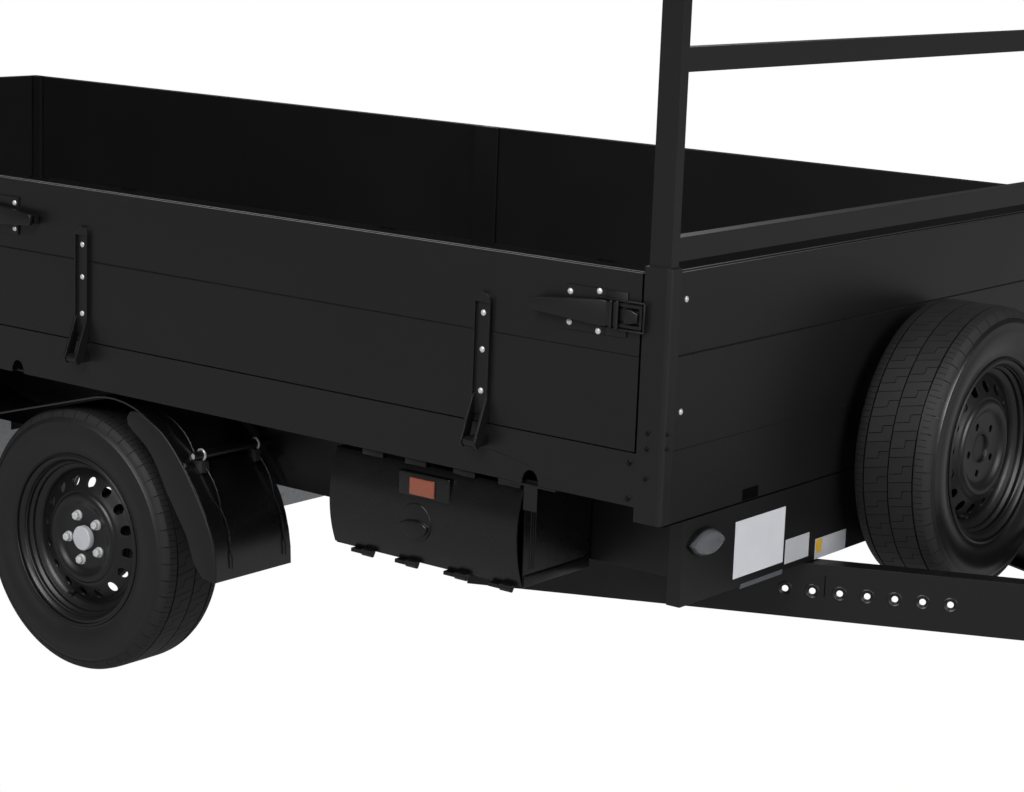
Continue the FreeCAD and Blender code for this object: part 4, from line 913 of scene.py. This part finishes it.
# Each front lens swells by these steps out of the base, and narrows by these factors.
LENS_STEPS = ((7, 0.97), (5, 0.88), (2.5, 0.66))


def almond(y, width, height):
    """Corners of an almond outline on the front end plate, point to point."""
    count = 8
    half, tall = width / 2, height / 2
    radius = (half * half + tall * tall) / (2 * tall)
    reach = math.asin(half / radius)
    upper = []
    for i in range(count):
        angle = -reach + 2 * reach * i / count
        upper.append((radius * math.sin(angle), radius * math.cos(angle) - radius + tall))
    lower = [(-u, -v) for u, v in upper]
    return [(y + u, LAMP_Z + v) for u, v in upper + lower]


def make_lamps():
    lenses, bases = [], []
    for side in (-1, 1):
        y = side * (HALF - LAMP_INSET)
        base = [bed(0.2, a, z) for a, z in almond(y, 119, 58)]
        bases.append(press("lamp_base", base, FORWARD * LAMP_BASE, 2))
        rim = [bed(LAMP_BASE, a, z) for a, z in almond(y, 111, 51)]
        lens = draw("lamp_lens", rim)
        bpy.ops.mesh.edge_face_add()
        for rise, size in LENS_STEPS:
            bpy.ops.mesh.extrude_region_move(TRANSFORM_OT_translate={"value": FORWARD * rise * MM})
            middle = bed(LAMP_BASE, y, LAMP_Z)
            bpy.ops.transform.resize(value=(1, size, size), center_override=middle)
        out_of_edit()
        lenses.append(lens)
    dress(join("lamp_lenses_front", lenses), CLEAR_LENS, ROOT, 25)
    dress(join("lamp_bases_front", bases), PLASTIC, ROOT)

    cases, stop, turn_light, white = [], [], [], []
    for side in (-1, 1):
        middle = side * (HALF - TAIL_LAMP_INSET)
        low = (TAIL_PLATE_X - 22, middle - TAIL_CASE_HALF, 557)
        high = (TAIL_PLATE_X, middle + TAIL_CASE_HALF, 637)
        cases.append(slab("lamp_case", low, high, 6, 3))
        for lenses, near, far in ((stop, -93, -31), (turn_light, -29, 33), (white, 35, 93)):
            ends = sorted((middle + side * near, middle + side * far))
            low = (TAIL_PLATE_X - 30, ends[0], 564)
            high = (TAIL_PLATE_X - 20, ends[1], 630)
            lenses.append(slab("tail_lens", low, high, 4, 3))
    tail_case = dress(join("lamp_cases_rear", cases), PLASTIC, ROOT)
    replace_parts(tail_case, "lamps")
    dress(join("lamp_lenses_stop", stop), RED_LENS, ROOT)
    dress(join("lamp_lenses_turn", turn_light), AMBER_LENS, ROOT)
    dress(join("lamp_lenses_reverse", white), CLEAR_LENS, ROOT)


def make_labels():
    """Blank plates on the front end plate; the third has a yellow band."""
    thick = 0.8

    def label(low, high, z0, z1):
        return slab("label", (0, low - HALF, z0), (thick, high - HALF, z1), 0.2, 1)

    dress(join("blank_label_large", [label(312, 504, 505, 626)]), LABEL, ROOT)
    small = [label(512, 608, 498, 551), label(635, 764, 485, 530)]
    dress(join("blank_labels_small", small), GREY_LABEL, ROOT)
    # The end plate's lower lip, lighter than the plate: a painted highlight.
    edge = slab("highlight_lip", (-3, 343 - HALF, 479), (1, 505 - HALF, 489), 0.4, 1)
    dress(edge, LIP_HIGHLIGHT, ROOT)
    band = slab("label_band", (thick, 638 - HALF, 499), (1.1, 662 - HALF, 528), 0.1, 1)
    dress(band, YELLOW, ROOT)


BOX_INSET = 50
LID_BULGE, LID_SWELL = 22, 13
LID_MIDDLE_Z, LID_HALF = 574.5, 105.5
LOCK_X, LOCK_Z = -617, 559


def lid_face(z):
    """The y of the crowned lid's face at a height."""
    return FACE + BOX_INSET - LID_SWELL + LID_BULGE * ((z - LID_MIDDLE_Z) / LID_HALF) ** 2


def make_toolbox():
    marker = lid_face(640)
    housing = slab("marker_housing", (-668, marker - 7, 613), (-530, -960, 665), 3, 3)
    lens = slab("marker_lens", (-635, marker - 12, 618), (-568, marker - 6, 655), 2.5, 3)
    dress(housing, PLASTIC, "toolbox_door")
    dress(lens, AMBER_LENS, "toolbox_door")
    centre = bed(LOCK_X, lid_face(LOCK_Z), LOCK_Z)
    dish = turn("lock_dish", [
        (0, 2.2), (38, 2.2), (41, 1.6), (42, 0), (42, -4), (0, -4),
    ], centre, (0, -1, 0), 48)
    grip = [(-39, -5), (-22, 3), (0, 6), (20, 4), (37, -4)]
    for i in range(1, 8):
        angle = math.radians(180) * i / 8
        grip.append((37 * math.cos(angle), -6 - 26 * math.sin(angle)))
    corners = [centre + Vector((u, -1, v)) * MM for u, v in grip]
    blade = press("lock_grip", corners, OUT_RIGHT * 9, 2.5, 3)
    dress(join("rotary_lock", [dish, blade]), PLASTIC, "toolbox_door")

    trim = []
    for x in (-783, -664, -533, -414):
        trim.append(slab("box_tab", (x, FACE + 52, 676), (x + 58, FACE + 66, 690), 1.5))
    for inset in (84, 92, 100):
        near = FACE + inset
        trim.append(slab("end_rib", (-352, near, 500), (-348.4, near + 3, 668), 1, 1))
    trim.append(slab("end_ledge", (-352, FACE + 66, 466), (-346, FACE + 292, 490), 2))
    dress(join("toolbox_trim", trim), PLASTIC, ROOT)
    hanger = [
        slab("hanger_strap", (-309, FACE + 1, 650), (-275, FACE + 4, 703), 1, 1),
        slab("hanger_bar", (-375, FACE, 700), (-230, FACE + 30, 704.6), 1, 1),
    ]
    dress(join("toolbox_hanger", hanger), POWDER, ROOT)


def make_front_panel():
    """A plank joint's bead, and matt black strips of painted shade: in the slot at the panel's foot
    and in the gap under it.
    """
    # Painted shade: a matt black strip in the gap at the panel's foot, where light would show
    # through.
    strip = slab("gap_shade_strip", (-18, -HALF + 60, 659), (-6, HALF - 60, 668), 1, 1)
    dress(strip, SHADE_BLACK, ROOT)
    bead = slab("plank_bead", (-0.5, -HALF + 40, 810), (1.2, HALF - 40, 812.4), 0.5, 1)
    dress(bead, PLANK, ROOT)
    # Painted shade: a matt black insert that stands for the open slot.
    plug = slab("slot_shade", (-0.5, -690, 667), (0.8, -630, 691), 0.5, 1)
    dress(plug, SHADE_BLACK, ROOT)


def merged_copy(name):
    """A copy of a CAD node with its loose triangles merged."""
    twin = copy_to(nodes[name], Matrix())
    into_edit(twin)
    bpy.ops.mesh.remove_doubles(threshold=MERGE)
    bpy.ops.mesh.select_all(action="DESELECT")
    bpy.ops.object.mode_set(mode="OBJECT")
    return twin


RAIL_SLOTS = (-293, -1820, REAR_POST_X + 254)


def make_rails():
    """The edge rails again, with half-round slots cut in their lower edges."""
    rails = merged_copy("side_rails")
    cutters = []
    for x in RAIL_SLOTS:
        arch = [(x - 20.5, 700), (x + 20.5, 700), (x + 20.5, 714), (x + 15, 727), (x + 6, 734.5),
                (x - 6, 734.5), (x - 15, 727), (x - 20.5, 714)]
        for side in (-1, 1):
            corners = [bed(along, side * (HALF + 5), z) for along, z in arch]
            cutters.append(press("slot_cutter", corners, (0, -side * 20, 0)))
    cutter = join("slot_cutter", cutters)
    modify(rails, "BOOLEAN", operation="DIFFERENCE", object=cutter, solver="EXACT")
    remove(cutter)
    dress(rails, POWDER, ROOT, 8).name = "slotted_rails"
    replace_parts(rails, "side_rails")


make_lamps()
make_labels()
make_toolbox()
make_front_panel()
make_rails()


# Mudguard lips, ribs and stays

# The lip's outer and inner edges down the guard's front end, as x and z from the hub.
LIP_OUTER = [
    (196, 345), (222, 348), (250, 337), (294, 316), (324, 293), (359, 257), (398, 206), (432, 154),
    (458, 106), (469, 71), (474, 31), (475, -8),
]
LIP_INNER = [
    (435, -4), (409, 25), (396, 53), (383, 85), (352, 129), (317, 179), (282, 236), (251, 271),
    (207, 301), (191, 314), (187, 330),
]
GUARD_OUTSIDE = 30
# Corners down the guard's front end, from the hub, and the bow of the arcs between them.
GUARD_FRONT = [
    (475, -8), (467, 68), (440, 147), (357, 258), (240, 344), (165, 366), (80, 362),
]
GUARD_BOW = 0.09
STAY_LEAD, STAY_Z = 376.6, 583
STAY_INSET, STAY_ROOT = 50, 300
CLAMPS = (80, 256)
PAD_HALF = 13


def guard_spot(x, z, inset):
    """A place beside the front right wheel: x and z from its hub, inset from the bed's side."""
    return bed(HUBS["front"] + x, FACE + inset, HUB_Z + z)


def on_guard(angle, rise):
    """A corner on the guard's front arcs at an angle round the hub, raised off them."""
    known = [(math.atan2(z, x), math.hypot(x, z)) for x, z in GUARD_FRONT]
    for (a0, r0), (a1, r1) in zip(known, known[1:]):
        if angle <= a1:
            break
    part = (angle - a0) / (a1 - a0)
    bow = 4 * part * (1 - part) * GUARD_BOW * (a1 - a0) * r0
    radius = r0 + (r1 - r0) * part + bow + rise
    return radius * math.cos(angle), radius * math.sin(angle)


def eased(line):
    """The same open line with four times the points, on a smooth curve through them."""
    parts = 4
    ends = [line[0]] + line + [line[-1]]
    points = []
    for a, b, c, d in zip(ends, ends[1:], ends[2:], ends[3:]):
        a, b, c, d = (Vector(point) for point in (a, b, c, d))
        for k in range(parts):
            t = k / parts
            square, cube = 2 * a - 5 * b + 4 * c - d, 3 * b - a - 3 * c + d
            points.append(b + ((c - a) * t + square * t * t + cube * t ** 3) / 2)
    return points + [Vector(line[-1])]


def guard_lip():
    """A rolled crescent down the outer edge, blunt at its top."""
    outline = eased(LIP_OUTER) + eased(LIP_INNER)
    corners = [guard_spot(x, z, GUARD_OUTSIDE - 2.4) for x, z in outline]
    return press("guard_lip", corners, (0, 8, 0), 2, 3)


def guard_rib(inset):
    """A narrow moulded rib round the guard's front, in line with a clamp."""
    steps = 20
    angles = [math.radians(2 + 56 * i / steps) for i in range(steps + 1)]
    outer = [on_guard(angle, 1.4) for angle in angles]
    inner = [on_guard(angle, -2) for angle in reversed(angles)]
    corners = [guard_spot(x, z, inset) for x, z in outer + inner]
    return press("guard_rib", corners, (0, 2.5, 0))


def all_guard_ends(master, title, finish):
    """The other three guard ends by mirrors, joined for each side of the trailer."""
    middle = (HUBS["front"] + HUBS["rear"]) / 2
    on_both_sides(join(title, [master, copy_to(master, mirror_x(middle))]), title, finish)


def make_guards():
    for side in SIDES:
        shell = dress(merged_copy(f"mudguard_{side}"), GUARD_PLASTIC, ROOT, 40)
        shell.name = f"guard_shell_{side}"
        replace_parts(shell, f"mudguard_{side}")
    all_guard_ends(guard_lip(), "guard_lips", LIP_PLASTIC)
    ribs = join("guard_ribs", [guard_rib(inset) for inset in CLAMPS])
    all_guard_ends(ribs, "guard_ribs", GUARD_PLASTIC)


def make_stays():
    """Black tubes with open ends, plastic saddles and bright wire rings round them."""
    tube_end = guard_spot(STAY_LEAD, STAY_Z - HUB_Z, STAY_INSET)
    length = HALF - STAY_INSET - STAY_ROOT
    tube = turn("stay_tube", [
        (7.6, 1), (9.4, 0), (10, 0.8), (10, length - 14), (22, length - 12), (22, length - 1),
        (7.6, length - 1), (7.6, 1),
    ], tube_end, (0, 1, 0), 24)
    plug_line = [(0, 3), (6, 3.4), (7.6, 4.4), (7.6, 9), (0, 9)]
    plug = turn("stay_plug", plug_line, tube_end, (0, 1, 0), 24)
    foot = [(356, 243), (376, 216), (392, 228), (388, 252), (378, 257), (366, 263)]
    ring_line = [
        (10.2, -1.6), (12.6, -2.6), (14.6, -1.4), (14.6, 1.4), (12.6, 2.6), (10.2, 1.6),
    ]
    pads, rings = [], []
    for inset in CLAMPS:
        corners = [guard_spot(x, z, inset - PAD_HALF) for x, z in foot]
        pads.append(press("stay_pad", corners, (0, 2 * PAD_HALF, 0), 2))
        middle = guard_spot(STAY_LEAD, STAY_Z - HUB_Z, inset)
        rings.append(turn("clamp_ring", ring_line + ring_line[:1], middle, (0, 1, 0), 32))
    all_guard_ends(tube, "stay_tubes", POWDER)
    all_guard_ends(join("stay_pads", pads), "stay_pads", GREY_RUBBER)
    all_guard_ends(join("clamp_rings", rings + [plug]), "clamp_rings", BRIGHT_RING)
    for side in SIDES:
        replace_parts(bpy.data.objects[f"stay_tubes_{side}"], "mudguard_stays")


make_guards()
make_stays()


# Drawbar fittings

GAITER_X, GAITER_Z = 1050, 445
GAITER_LENGTH, GAITER_FOLDS = 210, 9
BEAM_ANGLE = math.radians(24.3)
# A beam's outer face from the centre line at the front panel's face.
BEAM_OFFSET = 413.4
HOLES, HOLE_PITCH, HOLE_FIRST, HOLE_Z = 7, 58.6, 40.4, 421
LAP_X, LAP_Z, LAP_HALF = 37, 435, 23
JOCKEY_WHEEL_X, JOCKEY_WHEEL_Z = 626, 110
CRANK_GRIP = (620, 104, 900)


def make_gaiter():
    """Rubber bellows over the overrun shaft, with a cuff at each end."""
    length = GAITER_LENGTH
    profile = [(0, 0), (34, 0), (39, 2), (39, 12)]
    pitch = (length - 30) / GAITER_FOLDS
    for i in range(GAITER_FOLDS):
        at = 14 + pitch * i
        profile += [(40, at + pitch * 0.15), (41, at + pitch * 0.35), (34, at + pitch * 0.8)]
    profile += [(36, length - 14), (36, length - 2), (33, length), (0, length)]
    gaiter = turn("bellows", profile, bed(GAITER_X, 0, GAITER_Z), (1, 0, 0), 40)
    dress(gaiter, RUBBER, ROOT, 40)
    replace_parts(gaiter, "overrun_gaiter")


def on_beam(x, z):
    """A place on the right beam's outer face."""
    return bed(x, -(BEAM_OFFSET - x * math.tan(BEAM_ANGLE)), z)


def make_beam_rims():
    """A pressed rim round each hole of the beams, and a thin matt black strip of painted shade
    along the groove where a beam is lapped.
    """
    out = Vector((math.sin(BEAM_ANGLE), -math.cos(BEAM_ANGLE), 0))
    profile = [
        (7, -4.5), (7, -3.5), (9.5, -1.2), (12.5, 1.2), (14.5, 1.8), (16.5, 0.8), (16.5, -0.5),
        (11, -0.5), (8.8, -4.5),
    ]
    rims = []
    for i in range(HOLES):
        spot = on_beam(i * HOLE_PITCH * math.cos(BEAM_ANGLE) - HOLE_FIRST, HOLE_Z)
        rims.append(turn("hole_rim", profile + profile[:1], spot, out, 24))
    # Painted shade: a flush matt black strip where the lap's groove is dark.
    lap = on_beam(LAP_X, LAP_Z)
    along = Vector((math.cos(BEAM_ANGLE), math.sin(BEAM_ANGLE), 0)) * MM
    tall = Vector((0, 0, LAP_HALF * MM))
    corners = [lap - along + tall, lap + along + tall, lap + along - tall, lap - along - tall]
    groove_shade = press("lap_groove_shade", corners, out * 0.6)
    on_both_sides(groove_shade, "lap_groove_shade", SHADE_BLACK)
    on_both_sides(join("hole_rims", rims), "hole_rims", POWDER)


def make_jockey():
    """The jockey wheel's rubber tread and nylon hub, and the grip on its crank."""
    centre = bed(JOCKEY_WHEEL_X, 0, JOCKEY_WHEEL_Z)
    tread_line = [
        (86, -24), (104, -28), (109, -22), (110, -8), (110, 8), (109, 22), (104, 28), (86, 24),
    ]
    tread = turn("jockey_tread", tread_line + tread_line[:1], centre, (0, 1, 0), 64)
    hub = turn("jockey_hub", [
        (10.4, -30), (24, -30), (26, -27), (28, -10), (74, -8), (80, -22), (87, -24), (87, 24),
        (80, 22), (74, 8), (28, 10), (26, 27), (24, 30), (10.4, 30), (10.4, -30),
    ], centre, (0, 1, 0), 48)
    dress(tread, RUBBER, "jockey_roller")
    dress(hub, GREY_PLASTIC, "jockey_roller")
    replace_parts(tread, "jockey_wheel")
    grip = turn("crank_grip", [
        (0, 4), (11, 4), (13.5, 8), (14.5, 30), (13, 60), (14.5, 90), (13, 98), (8, 102), (0, 102),
    ], bed(*CRANK_GRIP), (0, 0, 1), 24)
    dress(grip, PLASTIC, ROOT)


make_gaiter()
make_beam_rims()
make_jockey()


# Studio: floor, light and camera

def studio():
    """A white room to the camera, which the black paint mirrors as a soft grey."""
    world = bpy.data.worlds.new("studio")
    bpy.context.scene.world = world
    world.use_nodes = True
    tree = world.node_tree
    path = add(tree, "ShaderNodeLightPath")
    seen = add(tree, "ShaderNodeMath", {
        0: path.outputs["Is Camera Ray"], 1: path.outputs["Is Transmission Ray"],
    }, operation="MAXIMUM")
    plug_in(tree, tree.nodes["Background"], {
        "Color": (1, 1, 1, 1), "Strength": spread(tree, seen.outputs[0], 0.08, 1.0),
    })

    bpy.ops.mesh.primitive_plane_add(size=60)
    floor = bpy.context.object
    floor.name = "studio_floor"
    made, tree, _ = start_material("studio_paper")
    finish_material(made, Roughness=0.9, Base_Color=linear("#F6F6F6"))
    shader = tree.nodes["Principled BSDF"]
    path = add(tree, "ShaderNodeLightPath")
    mirrored = spread(tree, path.outputs["Is Camera Ray"], 0.36, 1.0)
    paper = add(tree, "ShaderNodeEmission", {"Strength": mirrored})
    straight = add(tree, "ShaderNodeMath", {
        0: path.outputs["Is Camera Ray"], 1: path.outputs["Is Glossy Ray"],
    }, operation="MAXIMUM")
    lit = add(tree, "ShaderNodeMixShader", {
        0: straight.outputs[0], 1: shader.outputs["BSDF"], 2: paper.outputs["Emission"],
    })
    plug_in(tree, tree.nodes["Material Output"], {"Surface": lit.outputs["Shader"]})
    floor.data.materials.append(made)

    for name, spot, aim, power, size in (
        ("key", (1.5, -7.0, 6.0), (-0.3, -1.0, 0.8), 700, 5.0),
        ("front", (8.0, -1.0, 3.8), (1.3, 0, 0.7), 420, 4.0),
        ("back", (-6.0, 6.0, 6.0), (-0.5, 0, 0.8), 120, 5.0),
    ):
        light = bpy.data.lights.new(name, "AREA")
        light.energy = power
        light.size = size
        lamp = bpy.data.objects.new(name, light)
        bpy.context.scene.collection.objects.link(lamp)
        lamp.location = spot
        lamp.rotation_euler = (Vector(aim) - Vector(spot)).to_track_quat("-Z", "Y").to_euler()


def photo_camera():
    """The camera solved from the photograph, placed from the bed's front right corner."""
    yaw, pitch, roll = (math.radians(a) for a in (37.4537, -11.5958, 2.1973))
    data = bpy.data.cameras.new("photo")
    data.sensor_width = 36
    data.lens = 87.577
    data.clip_end = 200
    camera = bpy.data.objects.new("photo", data)
    bpy.context.scene.collection.objects.link(camera)
    facing = (
        Matrix.Rotation(yaw, 4, "Z")
        @ Matrix.Rotation(math.pi / 2 + pitch, 4, "X")
        @ Matrix.Rotation(roll, 4, "Z")
    )
    spot = Vector((2.6204 + FRONT_FACE, -3.8728 - HALF_WIDTH, 1.8788))
    camera.matrix_world = Matrix.Translation(spot) @ facing
    bpy.context.scene.camera = camera


studio()
photo_camera()
bpy.context.scene.view_settings.view_transform = "Standard"
